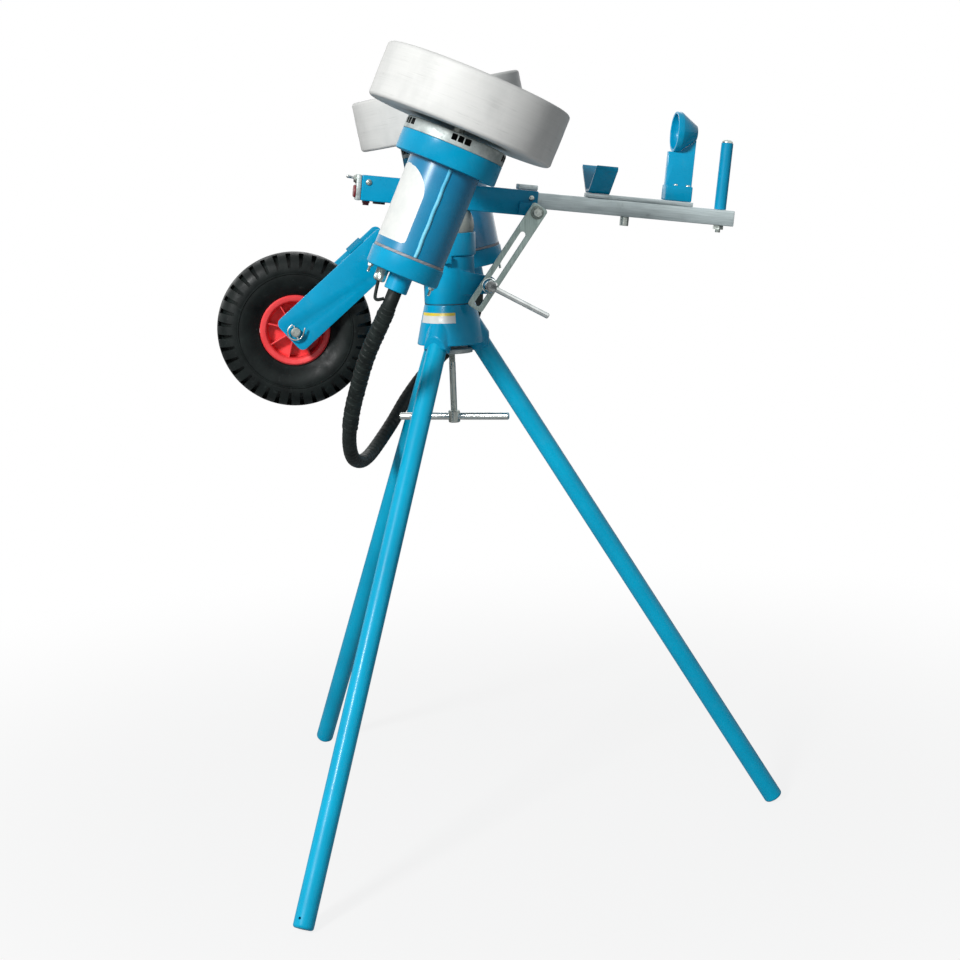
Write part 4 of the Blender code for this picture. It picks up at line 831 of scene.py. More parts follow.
head_place = (stand_place @ Matrix.Translation((0, 0, ball_z))
              @ Matrix.Rotation(math.radians(head_pitch), 4, "Y"))
ball_grey, _ = aged_finish(
    "ground_grey_ball", (150, 156, 150), 0.42, 0.35,
    tones=((140, 147, 141), (170, 174, 168)), clouds=((50, 8), 1),
    marks=((92, 100, 96), (120, 10, (1, 1, 6)), 0.8, 0.58, 0.72), bumps=((240, 6), 0.15, 0.0004),
)
ball = turned(
    [(ball_low_r, -math.sqrt(ball_r ** 2 - ball_low_r ** 2))]
    + arc(0, 0, ball_r, -86, math.degrees(math.asin(ball_flat / ball_r)), 40),
    96,
)
settle(ball, "iron_ball", head_place, "head", ball_grey)
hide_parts("swivel_ball")


# Elevation link, its bolts and the locking lever
# A slotted flat bar, zinc plated, hangs from a welded boss on the beam and slides over the
# stud in the ear. The bent chromed lever screws down on it.
link_y, link_thick, link_half = -0.0525, 0.0056, 0.0138
link_top, link_end, link_corner = -0.0117, 0.1830, 0.005
slot_half, slot_start, slot_stop = 0.0052, 0.0424, 0.1724
pivot_x, pivot_z = 0.1397, 1.0199
link_zinc = plated("zinc_plate_link", (176, 193, 188), 0.5, 2)
lean = math.atan2(ear_x - pivot_x, pivot_z - ear_z)
link_place = (stand_place @ Matrix.Translation((pivot_x, link_y, pivot_z))
              @ Matrix.Rotation(-lean + math.pi, 4, "Y"))
link_outline = round_corners((-link_half, link_top), (link_half, link_end), link_corner)
link = flat_bar(link_outline, -link_thick / 2, link_thick / 2)
soften(link, 0.0006, 2, 60)
slot_outline = arc(0, slot_stop, slot_half, 0, 180, 16) + arc(0, slot_start, slot_half, 180, 360, 16)
shape_with(link, flat_bar(slot_outline, -0.02, 0.02))
shape_with(link, bar((0, 0, -0.02), (0, 0, 0.02), 0.0051, 40))
put(link, stand_up)
settle(link, "slotted_link", link_place, "link", link_zinc)
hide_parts("elevation_link")


def hex_nut(radius, thick, low=0.0):
    """A chamfered hexagon about Z, from a height up."""
    nut = turned([(radius, 0), (radius, thick)], 6)
    chamfer = turned([(radius * 0.93, -0.0001), (radius * 1.02, thick * 0.12), (radius * 1.02, thick * 0.82),
                      (radius * 0.90, thick + 0.0001)], 48)
    shape_with(nut, chamfer, "INTERSECT")
    return put(nut, Matrix.Translation((0, 0, low)))


facing_near = Matrix.Rotation(math.radians(90), 4, "X")
front = link_y - link_thick / 2 - gap
shank_r = 0.0047
washer_high = 0.0027
pivot_place = stand_place @ Matrix.Translation((pivot_x, front, pivot_z)) @ facing_near
pivot_washer = turned([(0.0101, 0), (0.01075, 0.0005), (0.01075, 0.0012), (0.0101, 0.0016)], 64)
ridge = turned([(0.0082, 0.0010), (0.0082, 0.0023), (0.0078, 0.0026)], 48)
stub = turned([(0.0036, 0.0070), (0.0036, 0.0082), (0.0030, 0.0086)], 32)
shape_with(pivot_washer, ridge, "UNION")
shape_with(pivot_washer, hex_nut(0.0071, 0.0058, 0.0022), "UNION")
shape_with(pivot_washer, stub, "UNION")
shape_with(pivot_washer, bar((0, 0, 0.0004), (0, 0, -0.0290), shank_r, 32), "UNION")
bolt_zinc = plated("zinc_plate_bolts", (200, 208, 202), 0.24, 1)
washer_zinc = plated("dull_zinc_washer", (146, 156, 151), 0.46, 1)
settle(pivot_washer, "pivot_bolt_and_washer", pivot_place, "head", washer_zinc)
pivot_washer.data.materials.append(bolt_zinc)
from_pivot = pivot_place.inverted()
for face in pivot_washer.data.polygons:
    if (from_pivot @ face.center).z > washer_high:
        face.material_index = 1
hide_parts("pivot_bolt")

ear_place = stand_place @ Matrix.Translation((ear_x, front, ear_z)) @ facing_near
stud_r, stud_thread, stud_pitch = 0.0044, 0.0005, 0.0008
stud = turned(
    [(0.0038, -0.0240), (stud_r, -0.0230), (stud_r, -0.0128)]
    + [(stud_r - stud_thread * (i % 2), -0.0125 + stud_pitch * i) for i in range(33)] + [(0.0040, 0.0145)],
    36,
)
settle(stud, "threaded_elevation_stud", ear_place, "swivel", bolt_zinc)
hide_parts("elevation_stud")

lever_length, lever_drop, lever_rod_r = 0.106, 29.5, 0.0048
lever_hub_r, lever_hub_length = 0.0125, 0.0215
chrome, _ = aged_finish(
    "bright_chrome", (226, 231, 230), 0.12, 1.0,
    tones=((234, 238, 237), (184, 191, 189)), clouds=((40, 8), 0.7), gloss=((90, 8), 0.08, 0.26),
)
lever = turned(
    [(lever_hub_r - 0.0008, 0), (lever_hub_r, 0.0010), (lever_hub_r, 0.0060), (0.0108, 0.0064),
     (0.0108, 0.0082), (lever_hub_r - 0.0006, 0.0086), (lever_hub_r - 0.0006, 0.0150), (0.0102, 0.0195),
     (0.0087, 0.0214)],
    72,
)
drop = math.radians(-lever_drop)
out = lever_hub_length - 0.0044 - 0.003
rod_end = Vector((lever_length * math.cos(drop), lever_length * math.sin(drop), out))
shape_with(lever, bar((0, 0, out), rod_end, lever_rod_r, 64, 0.0014), "UNION")
shape_with(lever, bar((0, 0, -0.01), (0, 0, 0.0153), shank_r, 32))
settle(lever, "chromed_lever", ear_place, "lever", chrome)
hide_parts("elevation_lever")


# Carrying fork
# Two long painted plates on the cross tube, tied by a welded bridge, hold the carrying wheel.
# A through bolt fixes them at the top, and the axle is kept in by spring clips.
axle_x, axle_z, axle_r = -0.254, 0.847, 0.0075
fork_angle = 40.2
fork_y, fork_thick = 0.050, 0.005
fork_half, fork_length, fork_beyond, fork_corner = 0.0313, 0.212, 0.0145, 0.010
bridge_start, bridge_wide, bridge_half = fork_length - 0.036 - 0.028, 0.028, 0.0472
strap_half = 0.0525
fork_turn = Matrix.Rotation(math.radians(-fork_angle), 4, "Y")
fork_place = stand_place @ Matrix.Translation((axle_x, 0, axle_z)) @ fork_turn
both_sides = (("near", -1), ("far", 1))
plate_paint = sky_blue("sky_blue_on_plate", wear=0.55, gloss=0.24)
to_fork = Matrix.Rotation(math.radians(-fork_angle), 3, "Y").inverted()
bolt_spot = to_fork @ Vector((cross_x - axle_x, 0, cross_z - axle_z))
for side, sign in both_sides:
    fork_outline = round_corners((-fork_beyond, -fork_half), (fork_length, fork_half), fork_corner)
    fork_plate = flat_bar(fork_outline, -fork_thick / 2, fork_thick / 2)
    shape_with(fork_plate, bar((0, 0, -0.02), (0, 0, 0.02), axle_r + 0.0003, 48))
    bolt_hole = bar((bolt_spot.x, bolt_spot.z, -0.02), (bolt_spot.x, bolt_spot.z, 0.02), bolt_hole_r, 32)
    shape_with(fork_plate, bolt_hole)
    put(fork_plate, Matrix.Translation((0, sign * fork_y, 0)) @ stand_up)
    soften(fork_plate, 0.0007, 2, 60)
    settle(fork_plate, "fork_side_" + side, fork_place, "swivel", plate_paint)
    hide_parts("fork_plate_" + side)
bridge = block((bridge_start, -bridge_half, fork_half - 0.005),
               (bridge_start + bridge_wide, bridge_half, fork_half + 0.0010), 0.0009)
strap = block((bridge_start, -strap_half, fork_half + 0.0001),
              (bridge_start + bridge_wide, strap_half, fork_half + 0.0032), 0.0008)
shape_with(bridge, strap, "UNION")
bridge_paint = sky_blue("sky_blue_dull_on_bridge", wear=0.3, gloss=0.62,
                        low=(0, 124, 162), high=(0, 140, 180))
bridge_shader = bridge_paint.node_tree.nodes["Principled BSDF"]
bridge_shader.inputs["Specular IOR Level"].default_value = 0.04
bridge_shader.inputs["Coat Weight"].default_value = 0.0
settle(bridge, "fork_bridge_bar", fork_place, "swivel", bridge_paint)
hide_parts("fork_bridge")

outside = fork_y + fork_thick / 2 + gap
cross_bolt = bar((cross_x, -outside - 0.0055, cross_z), (cross_x, outside + 0.0080, cross_z),
                 0.0042, 36, 0.0006)
for sign in (-1, 1):
    turn = facing_near if sign < 0 else facing_near.inverted()
    bolt_end = turned([(0.0088, 0), (0.0092, 0.0004), (0.0092, 0.0011), (0.0088, 0.0014)], 48)
    shape_with(bolt_end, hex_nut(0.0080, 0.0044, 0.0012), "UNION")
    put(bolt_end, Matrix.Translation((cross_x, sign * outside, cross_z)) @ turn)
    shape_with(cross_bolt, bolt_end, "UNION")
settle(cross_bolt, "fork_through_bolt", stand_place, "swivel", bolt_zinc)
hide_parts("fork_bolt")

reach = outside + 0.0140
clip_y = outside + 0.0075
clip_wire_r, clip_ring_r, clip_turn = 0.0013, 0.0125, -14
axle = bar((axle_x, -reach, axle_z), (axle_x, reach, axle_z), axle_r, 56, 0.0012)
for sign in (-1, 1):
    pin_hole = bar((axle_x, sign * clip_y, axle_z - 0.02), (axle_x, sign * clip_y, axle_z + 0.02), 0.0016, 20)
    shape_with(axle, pin_hole)
settle(axle, "plated_wheel_axle", stand_place, "swivel", bolt_zinc)
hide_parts("wheel_axle")
for side, sign in both_sides:
    straight = [(0.0002, 0, 0.0115), (0, 0, 0.0095), (0, 0, 0), (0, 0, -0.0115)]
    clip = wound_tube("clip_pin_" + side, evenly(straight, 0.0008), lambda run, angle: clip_wire_r, 16)
    ring_line = []
    for i in range(27):
        a = math.radians(97 + 8.9 * i)
        ring_line.append((clip_ring_r * math.cos(a), 0, clip_ring_r * math.sin(a) + 0.0004))
    ring_line += [(0.0140, 0, -0.0008), (0.0164, 0, 0.0024)]
    spring = wound_tube("clip_spring_" + side, evenly(ring_line, 0.0008), lambda run, angle: clip_wire_r, 16)
    shape_with(clip, spring, "UNION")
    clip_place = (stand_place @ Matrix.Translation((axle_x, sign * clip_y, axle_z))
                  @ Matrix.Rotation(math.radians(clip_turn), 4, "Y"))
    settle(clip, "spring_clip_" + side, clip_place, "swivel", chrome)


# Carrying wheel
# A pneumatic-pattern rubber tyre with two rows of cross lugs, on a red moulded rim with thin
# ribs and a deep hub.
tyre_r = 0.1245
rim_r, rim_band, rim_half, rim_hub_r = 0.05625, 0.011, 0.026, 0.016
lug_count, rib_count, rib_turn = 36, 8, 16
wheel_place = stand_place @ Matrix.Translation((axle_x, 0, axle_z)) @ facing_near
tyre_black, tyre_shader = aged_finish(
    "tyre_rubber", (14, 18, 18), 0.45, 0.0,
    tones=((9, 13, 13), (22, 28, 27)), clouds=((30, 6), 1),
    marks=((70, 77, 76), (85, 10), 0.5, 0.6, 0.8),
    gloss=((45, 8), 0.32, 0.62), bumps=((380, 4), 0.22, 0.0005),
)
tyre_shader.inputs["Specular IOR Level"].default_value = 0.16
side_line = [
    (rim_r + 0.0004, 0.0235), (rim_r + 0.0022, 0.0262), (0.0612, 0.0276), (0.0660, 0.0308), (0.0712, 0.0342),
    (0.0760, 0.0366), (0.0812, 0.0382), (0.0862, 0.0391), (0.0900, 0.0388), (0.0908, 0.0405), (0.0922, 0.0405),
    (0.0930, 0.0386), (0.0960, 0.0390), (0.1010, 0.0383), (0.1060, 0.0370), (0.1105, 0.0350), (0.1145, 0.0320),
    (0.1180, 0.0282), (0.1205, 0.0240), (0.1222, 0.0190), (0.1234, 0.0130), (0.1241, 0.0066),
]


def joined(pieces):
    """Several pieces as one mesh."""
    let_go()
    for piece in pieces:
        piece.select_set(True)
    bpy.context.view_layer.objects.active = pieces[0]
    bpy.ops.object.join()
    return pieces[0]


def both_faces(line):
    """A closed outline from its upper half: the same line mirrored below."""
    return line + [(r, -z) for r, z in reversed(line)] + [line[0]]


tyre = turned(side_line + [(tyre_r, 0.0)] + [(r, -z) for r, z in reversed(side_line)] + [side_line[0]],
              144, bore=True)
groove = block((0.0955, -0.0038, 0.0125), (0.1300, 0.0038, 0.0470), 0.0)
for vertex in groove.data.vertices:
    x, y, z = vertex.co
    if x < 0.10:
        vertex.co = (0.1000, y * 0.55, 0.0360 if z < 0.03 else 0.050)
    elif z < 0.03:
        vertex.co = (0.1180, y * 1.05, 0.0110)
    else:
        vertex.co = (0.1420, y * 1.25, 0.0400)
cutters = []
for i in range(lug_count):
    for sign in (1, -1):
        cutter = bpy.data.objects.new("groove", groove.data.copy())
        scene.collection.objects.link(cutter)
        shift = 0.25 if sign > 0 else 0.75
        turn = Matrix.Rotation(math.tau * (i + shift) / lug_count, 4, "Z")
        cutter.data.transform(turn @ Matrix.Diagonal((1, 1, sign, 1)))
        if sign < 0:
            cutter.data.flip_normals()
        cutters.append(cutter)
bpy.data.objects.remove(groove, do_unlink=True)
shape_with(tyre, joined(cutters))
centre_groove = turned([(tyre_r - 0.0028, 0.0009), (tyre_r + 0.002, 0.0014), (tyre_r + 0.002, -0.0014),
                        (tyre_r - 0.0028, -0.0009), (tyre_r - 0.0028, 0.0009)], 144, bore=True)
shape_with(tyre, centre_groove)
settle(tyre, "lugged_tyre", wheel_place, "transport_wheel", tyre_black, 28)
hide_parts("transport_tyre")

rim_red, rim_shader = aged_finish(
    "red_moulded_rim", (228, 58, 62), 0.36, 0.0,
    tones=((220, 52, 56), (236, 74, 76)), clouds=((22,), 1),
    marks=((150, 52, 54), (110, 10), 0.5, 0.62, 0.8),
    gloss=((60, 6), 0.28, 0.48), bumps=((300, 3), 0.08, 0.0004),
)
rim_shader.inputs["Subsurface Weight"].default_value = 0.06
rim_shader.inputs["Subsurface Radius"].default_value = (0.004, 0.001, 0.001)
band = rim_r - rim_band
hub_end = fork_y - fork_thick / 2 - 0.0008
rim_line = [
    (0.0083, hub_end), (rim_hub_r - 0.0012, hub_end), (rim_hub_r, hub_end - 0.0012),
    (rim_hub_r + 0.0008, 0.0060), (rim_hub_r + 0.0030, 0.0042), (band - 0.0030, 0.0042),
    (band - 0.0008, 0.0065), (band, rim_half - 0.0035), (band + 0.0022, rim_half - 0.0010),
    (band + 0.0052, rim_half), (rim_r - 0.0022, rim_half), (rim_r, rim_half - 0.0020),
]
rim = turned(both_faces(rim_line), 112, bore=True)
for i in range(rib_count):
    rib = block((rim_hub_r - 0.002, -0.0014, -0.0205), (band + 0.002, 0.0014, 0.0205), 0.0005, 2)
    for vertex in rib.data.vertices:
        if abs(vertex.co.z) > 0.018:
            vertex.co.y *= 0.75
            vertex.co.z *= 1.0 if vertex.co.x > 0.03 else 1.12
    put(rib, Matrix.Rotation(math.tau * i / rib_count - math.radians(rib_turn), 4, "Z"))
    shape_with(rim, rib, "UNION")
settle(rim, "ribbed_red_rim", wheel_place, "transport_wheel", rim_red, 30)
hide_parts("transport_rim")


# Beam
# A sky-blue box tube stands on the iron ball and carries everything above it. The tray slides
# into its open end, and the bare aluminium control panel closes the other.
beam_left, beam_right = -0.1444, 0.1410
beam_low, beam_high, beam_half, beam_wall = 0.0273, 0.0680, 0.0222, 0.002
beam_screws = (("panel_screw", -0.1335, 0.0570, 0.0052), ("tray_screw", 0.1300, 0.0560, 0.0047))
beam = block((beam_left, -beam_half, beam_low), (beam_right, beam_half, beam_high), 0.0026, 4)
beam_hollow = block((beam_left - 0.01, -beam_half + beam_wall, beam_low + beam_wall),
                    (beam_right + 0.01, beam_half - beam_wall, beam_high - beam_wall), 0.0014, 3)
shape_with(beam, beam_hollow)
soften(beam, 0.0004, 2, 60)
settle(beam, "box_beam", head_place, "head", plate_paint)
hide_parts("main_beam")

for kind, x, z, size in beam_screws:
    for side, sign in both_sides:
        screw_head = turned([(size, 0), (size * 0.97, 0.0010), (size * 0.80, 0.0022),
                             (size * 0.45, 0.0030)], 40)
        shape_with(screw_head, turned([(0.0020, 0.0016), (0.0020, 0.0050)], 6))
        turn = facing_near if sign < 0 else facing_near.inverted()
        spot = Matrix.Translation((x, sign * (beam_half + 0.0001), z))
        settle(screw_head, kind + "_" + side, head_place @ spot @ turn, "head", bolt_zinc)

boss = head_place.inverted() @ stand_place @ Vector((pivot_x, 0, pivot_z))
bracket = bar((boss.x, link_y + link_thick / 2 + gap, boss.z), (boss.x, -beam_half - 0.0018, boss.z),
              0.0085, 56, 0.0006)
pad = block((boss.x - 0.026, -beam_half - 0.0063, boss.z - 0.007),
            (boss.x + 0.004, -beam_half - gap, boss.z + 0.014), 0.0012)
shape_with(bracket, pad, "UNION")
shape_with(bracket, bar((boss.x, -0.1, boss.z), (boss.x, -beam_half - 0.0032, boss.z), 0.0051, 32))
settle(bracket, "welded_link_boss", head_place, "head", plate_paint)
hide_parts("link_bracket")


# Control panel
# A small folded aluminium cover on the beam's end, with the bat-handle switch above and two
# dark red knobs, one for the speed of each wheel. A black inlet and a fuse cap sit below it.
panel_thick, panel_right, switch_z, knob_y, knob_z = 0.0077, beam_left - gap, 0.0605, 0.0108, 0.0410
panel_left = panel_right - panel_thick
flute_count, flute_line_r, flute_r = 18, 0.0105, 0.0008
switch_lean = -80
sheet_lines = (16, 6, (1.5, 1.5, 34))
bare_aluminium, _ = aged_finish(
    "bare_aluminium_sheet", (196, 205, 203), 0.4, 0.7,
    tones=((203, 212, 210), (170, 180, 178)), clouds=(sheet_lines, 1),
    marks=((104, 112, 110), (80, 10), 0.7, 0.6, 0.78),
    gloss=((50, 8), 0.3, 0.54), bumps=(sheet_lines, 0.08, 0.0003),
)
panel = block((panel_left, -beam_half, beam_low), (panel_right, beam_half, beam_high), 0.0014, 3)
shape_with(panel, bar((panel_right - 0.02, 0, switch_z), (panel_right + 0.02, 0, switch_z), 0.0057, 40))
settle(panel, "panel_cover", head_place, "head", bare_aluminium)
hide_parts("control_panel")

collar = turned([(0.0040, 0.0002), (0.0072, 0.0002), (0.0072, 0.0014), (0.0056, 0.0024), (0.0056, 0.0044),
                 (0.0040, 0.0044), (0.0040, 0.0002)], 12, bore=True)
outward = Matrix.Rotation(math.radians(-90), 4, "Y")
settle(collar, "switch_collar", head_place @ Matrix.Translation((panel_left, 0, switch_z)) @ outward,
       "head", bolt_zinc)
toggle = turned(
    [(0.0016, -0.0030), (0.0034, -0.0020), (0.0034, 0.0022), (0.0026, 0.0032), (0.0017, 0.0050),
     (0.0019, 0.0090), (0.0025, 0.0140)] + arc(0, 0.0180, 0.0030, -10, 80, 8),
    40,
)
settle(toggle, "bat_switch",
       head_place @ Matrix.Translation((panel_right - panel_thick * 0.5, 0, switch_z))
       @ Matrix.Rotation(math.radians(switch_lean), 4, "Y"),
       "toggle", chrome)
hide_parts("power_toggle")

knob_red, _ = aged_finish(
    "dark_red_knobs", (126, 30, 38), 0.42, 0.0,
    tones=((128, 30, 38), (92, 20, 28)), clouds=((120, 6), 1), bumps=((400, 3), 0.1, 0.0003),
)
pointer_white, _ = aged_finish(
    "pointer_white", (225, 225, 220), 0.5, 0.0, tones=((228, 228, 223), (190, 190, 184)), clouds=((200,), 1),
)
for side, sign in both_sides:
    knob = turned([(0.0096, 0), (0.0100, 0.0004), (0.0099, 0.0016), (0.0090, 0.0022), (0.0088, 0.0029),
                   (0.0080, 0.0030)], 72)
    flutes = []
    for i in range(flute_count):
        a = math.tau * i / flute_count
        x, y = flute_line_r * math.cos(a), flute_line_r * math.sin(a)
        flutes.append(bar((x, y, 0.0012), (x, y, 0.0050), flute_r, 10))
    shape_with(knob, joined(flutes))
    knob_place = head_place @ Matrix.Translation((panel_left - gap, sign * knob_y, knob_z)) @ outward
    settle(knob, "speed_knob_" + side, knob_place, "dial_" + side, knob_red)
    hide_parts("speed_dial_" + side)
    pointer = block((-0.0005, 0.0022, 0.0028), (0.0005, 0.0076, 0.00315), 0.0001, 1)
    settle(pointer, "knob_pointer_" + side, knob_place, "dial_" + side, pointer_white)
fuse = turned(
    [(0.0058, 0), (0.0062, -0.0004), (0.0062, -0.0028), (0.0055, -0.0032), (0.0050, -0.0036),
     (0.0050, -0.0064), (0.0046, -0.0068)],
    40,
)
shape_with(fuse, block((-0.0040, -0.0005, -0.0080), (0.0040, 0.0005, -0.0060), 0))
fuse_place = head_place @ Matrix.Translation((beam_left + 0.010, 0, beam_low - gap))
settle(fuse, "fuse_cap", fuse_place, "head", knob_red)
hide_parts("fuse_holder")
black_plastic, _ = aged_finish(
    "black_moulded_plastic", (26, 28, 30), 0.45, 0.0,
    tones=((24, 26, 28), (52, 55, 57)), clouds=((90, 6), 0.7), bumps=((500, 3), 0.12, 0.0003),
)
inlet = block((beam_left + 0.0215, -0.0085, beam_low - 0.0036),
              (beam_left + 0.0405, 0.0085, beam_low + 0.0002), 0.0010)
settle(inlet, "mains_inlet", head_place, "head", black_plastic)


# Tray tube, its stop and the aiming handle
# A flat drawn-aluminium tube with the guide slot in its faces slides into the beam. A painted
# grip stands on a long bolt at its open end.
tray_left, tray_right, tray_half, tray_wall = 0.060, 0.4680, 0.019, 0.0025
tray_high = beam_high - beam_wall - gap
tray_low = tray_high - 0.0254
stud_x, guide_r = 0.2895, 0.0048
guide_right, guide_left = stud_x + 0.004, stud_x - 0.084
handle_x, handle_r, handle_hole_r, handle_length = 0.447, 0.00975, 0.0045, 0.108
handle_rim, handle_edge = 0.0090, 0.0008
drawn_lines = (15, 6, (1.2, 40, 40), (0, math.radians(head_pitch), 0))
drawn_aluminium, _ = aged_finish(
    "drawn_aluminium_tube", (196, 209, 209), 0.4, 0.7,
    tones=((202, 214, 215), (176, 189, 190)), clouds=(drawn_lines, 1),
    marks=((140, 150, 148), (46, 12), 0.6, 0.6, 0.75),
    gloss=((34, 8), 0.3, 0.52), bumps=(drawn_lines, 0.07, 0.0003),
)
tray = block((tray_left, -tray_half, tray_low), (tray_right, tray_half, tray_high), 0.0016, 3)
tray_hollow = block((tray_left - 0.01, -tray_half + tray_wall, tray_low + tray_wall),
                    (tray_right + 0.01, tray_half - tray_wall, tray_high - tray_wall), 0.0008, 2)
shape_with(tray, tray_hollow)
guide = arc(guide_right, 0, guide_r, -90, 90, 12) + arc(guide_left, 0, guide_r, 90, 270, 12)
shape_with(tray, flat_bar(guide, tray_low - 0.02, tray_high + 0.02))
shape_with(tray, bar((handle_x, 0, 0), (handle_x, 0, 0.1), handle_hole_r, 40))
soften(tray, 0.0003, 1, 60)
settle(tray, "drawn_tray_tube", head_place, "head", drawn_aluminium)
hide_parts("tray_tube")

stop = block((beam_right - 0.033, -0.015, beam_high + gap), (beam_right - 0.001, 0.015, beam_high + 0.009),
             0.0018, 4)
settle(stop, "carriage_stop_block", head_place, "head", drawn_aluminium)
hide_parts("carriage_stop")

grip_paint = sky_blue("sky_blue_on_grip", wear=0.5, gloss=0.33)
grip_paint.node_tree.nodes["Principled BSDF"].inputs["Coat Weight"].default_value = 0.15
handle_place = head_place @ Matrix.Translation((handle_x, 0, 0))
handle_low = tray_high + gap
handle_high = handle_low + handle_length
handle = turned(
    [(handle_hole_r, handle_low), (handle_rim, handle_low), (handle_r, handle_low + handle_edge),
     (handle_r, handle_high - handle_edge), (handle_rim, handle_high), (handle_hole_r, handle_high),
     (handle_hole_r, handle_low)],
    64, bore=True,
)
settle(handle, "aiming_grip", handle_place, "head", grip_paint)
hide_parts("aim_handle")
head_low = tray_high + 0.1086
dome_low = head_low + 0.0012
dome_r, dome_high = 0.00885, 0.0042
handle_bolt = turned(
    [(0.0040, tray_low - 0.0118), (0.0042, tray_low - 0.0112), (0.0042, head_low), (dome_r, head_low),
     (dome_r, dome_low)]
    + [(dome_r * math.cos(math.radians(a)), dome_low + dome_high * math.sin(math.radians(a)))
       for a in range(12, 85, 12)],
    48,
)
shape_with(handle_bolt, hex_nut(0.0088, 0.0065, tray_low - 0.0068), "UNION")
shape_with(handle_bolt, turned([(0.0026, head_low + 0.0030), (0.0026, head_low + 0.009)], 6))
settle(handle_bolt, "grip_bolt_and_nut", handle_place, "head", bolt_zinc)
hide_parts("aim_handle_bolt")


# Feeding carriage
# An aluminium slider runs along the tray on a guide stud. A folded V cradle stands in front
# on it, and behind that a post carries the cup that pushes toward the wheels.
plate_low = tray_high + gap
plate_top = plate_low + 0.0068
base = plate_top + gap
cradle_middle, cradle_half = 0.223 + 0.0175, 0.0175
cradle_thick, cradle_flat, cradle_reach, cradle_rise = 0.005, 0.012, 0.066, 0.040
post_x, post_length, post_half, post_step, post_width = 0.350, 0.044, 0.017, 0.025, 0.006
pusher_x, pusher_z = 0.357, 0.184
post_screws = ((0.366, -0.0115), (0.366, 0.0115), (0.386, -0.0115), (0.386, 0.0115))
slider = block((0.222, -0.018, plate_low), (0.397, 0.018, plate_top), 0.0009, 3)
settle(slider, "carriage_slider", head_place, "carriage", drawn_aluminium)
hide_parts("slider_plate")

rise = math.atan2(cradle_rise, cradle_reach - cradle_flat)
nudge = cradle_thick * math.tan(rise / 2)
tip = cradle_thick / math.cos(rise)
floor_z = base + cradle_thick
fold = cradle_flat + nudge
upper = [(-cradle_reach, floor_z + cradle_rise), (-cradle_flat - 0.004, floor_z + 0.0027),
         (-cradle_flat + 0.0006, floor_z), (cradle_flat - 0.0006, floor_z),
         (cradle_flat + 0.004, floor_z + 0.0027), (cradle_reach, floor_z + cradle_rise)]
lower = [(cradle_reach, floor_z + cradle_rise - tip), (fold + 0.004, base + 0.0029), (fold - 0.001, base),
         (-fold + 0.001, base), (-fold - 0.004, base + 0.0029), (-cradle_reach, floor_z + cradle_rise - tip)]
cradle = flat_bar(upper + lower, -cradle_half, cradle_half)
across_tray = Matrix(((0, 0, 1, 0), (1, 0, 0, 0), (0, 1, 0, 0), (0, 0, 0, 1)))
put(cradle, Matrix.Translation((cradle_middle, 0, 0)) @ across_tray)
soften(cradle, 0.0007, 2, 50)
settle(cradle, "v_ball_cradle", head_place, "carriage", plate_paint)
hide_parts("v_cradle")

post = block((post_x, -post_half, base), (post_x + post_length, post_half, base + post_step), 0.0022, 3)
post_tongue = block((post_x, -post_width, base + 0.002), (post_x + post_length, post_width, pusher_z),
                    0.0008, 2)
shape_with(post, post_tongue, "UNION")
cup_place = Matrix.Translation((pusher_x, 0, pusher_z)) @ Matrix.Rotation(math.radians(-90), 4, "Y")
shape_with(post, put(turned([(0.0123, -0.0373), (0.0328, -0.0090), (0.0328, 0.05)], 96), cup_place))
soften(post, 0.0006, 2, 60)
settle(post, "cup_post_block", head_place, "carriage", plate_paint)
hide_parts("cup_post")
pusher = turned(
    [(0.0010, -0.0330), (0.0085, -0.0330), (0.0108, -0.0316), (0.0268, -0.0116), (0.0283, -0.0085),
     (0.0285, -0.0010), (0.0291, -0.0001), (0.0318, 0), (0.0325, -0.0008), (0.0325, -0.0086),
     (0.0318, -0.0100), (0.0125, -0.0362), (0.0105, -0.0370), (0.0010, -0.0370), (0.0010, -0.0330)],
    112, bore=True,
)
settle(pusher, "pusher_cup_shell", head_place @ cup_place, "carriage", plate_paint)
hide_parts("pusher_cup")
guide_pin = turned(
    [(0.0066, tray_low - 0.0150), (0.00725, tray_low - 0.0143), (0.00725, tray_low - 0.0010),
     (0.0068, tray_low - gap), (0.0040, tray_low - gap), (0.0040, plate_low - gap)],
    56,
)
shape_with(guide_pin, turned([(0.0034, tray_low - 0.0160), (0.0034, tray_low - 0.0120)], 6))
settle(guide_pin, "guide_pin_and_sleeve", head_place @ Matrix.Translation((stud_x, 0, 0)), "carriage",
       bolt_zinc)
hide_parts("guide_stud")
for i, (x, y) in enumerate(post_screws):
    small = turned([(0.0040, 0), (0.0039, 0.0010), (0.0032, 0.0020), (0.0018, 0.0025)], 28)
    shape_with(small, turned([(0.0016, 0.0012), (0.0016, 0.004)], 6))
    spot = Matrix.Translation((x, y, base + post_step))
    settle(small, "post_screw_%d" % (i + 1), head_place @ spot, "carriage", bolt_zinc)


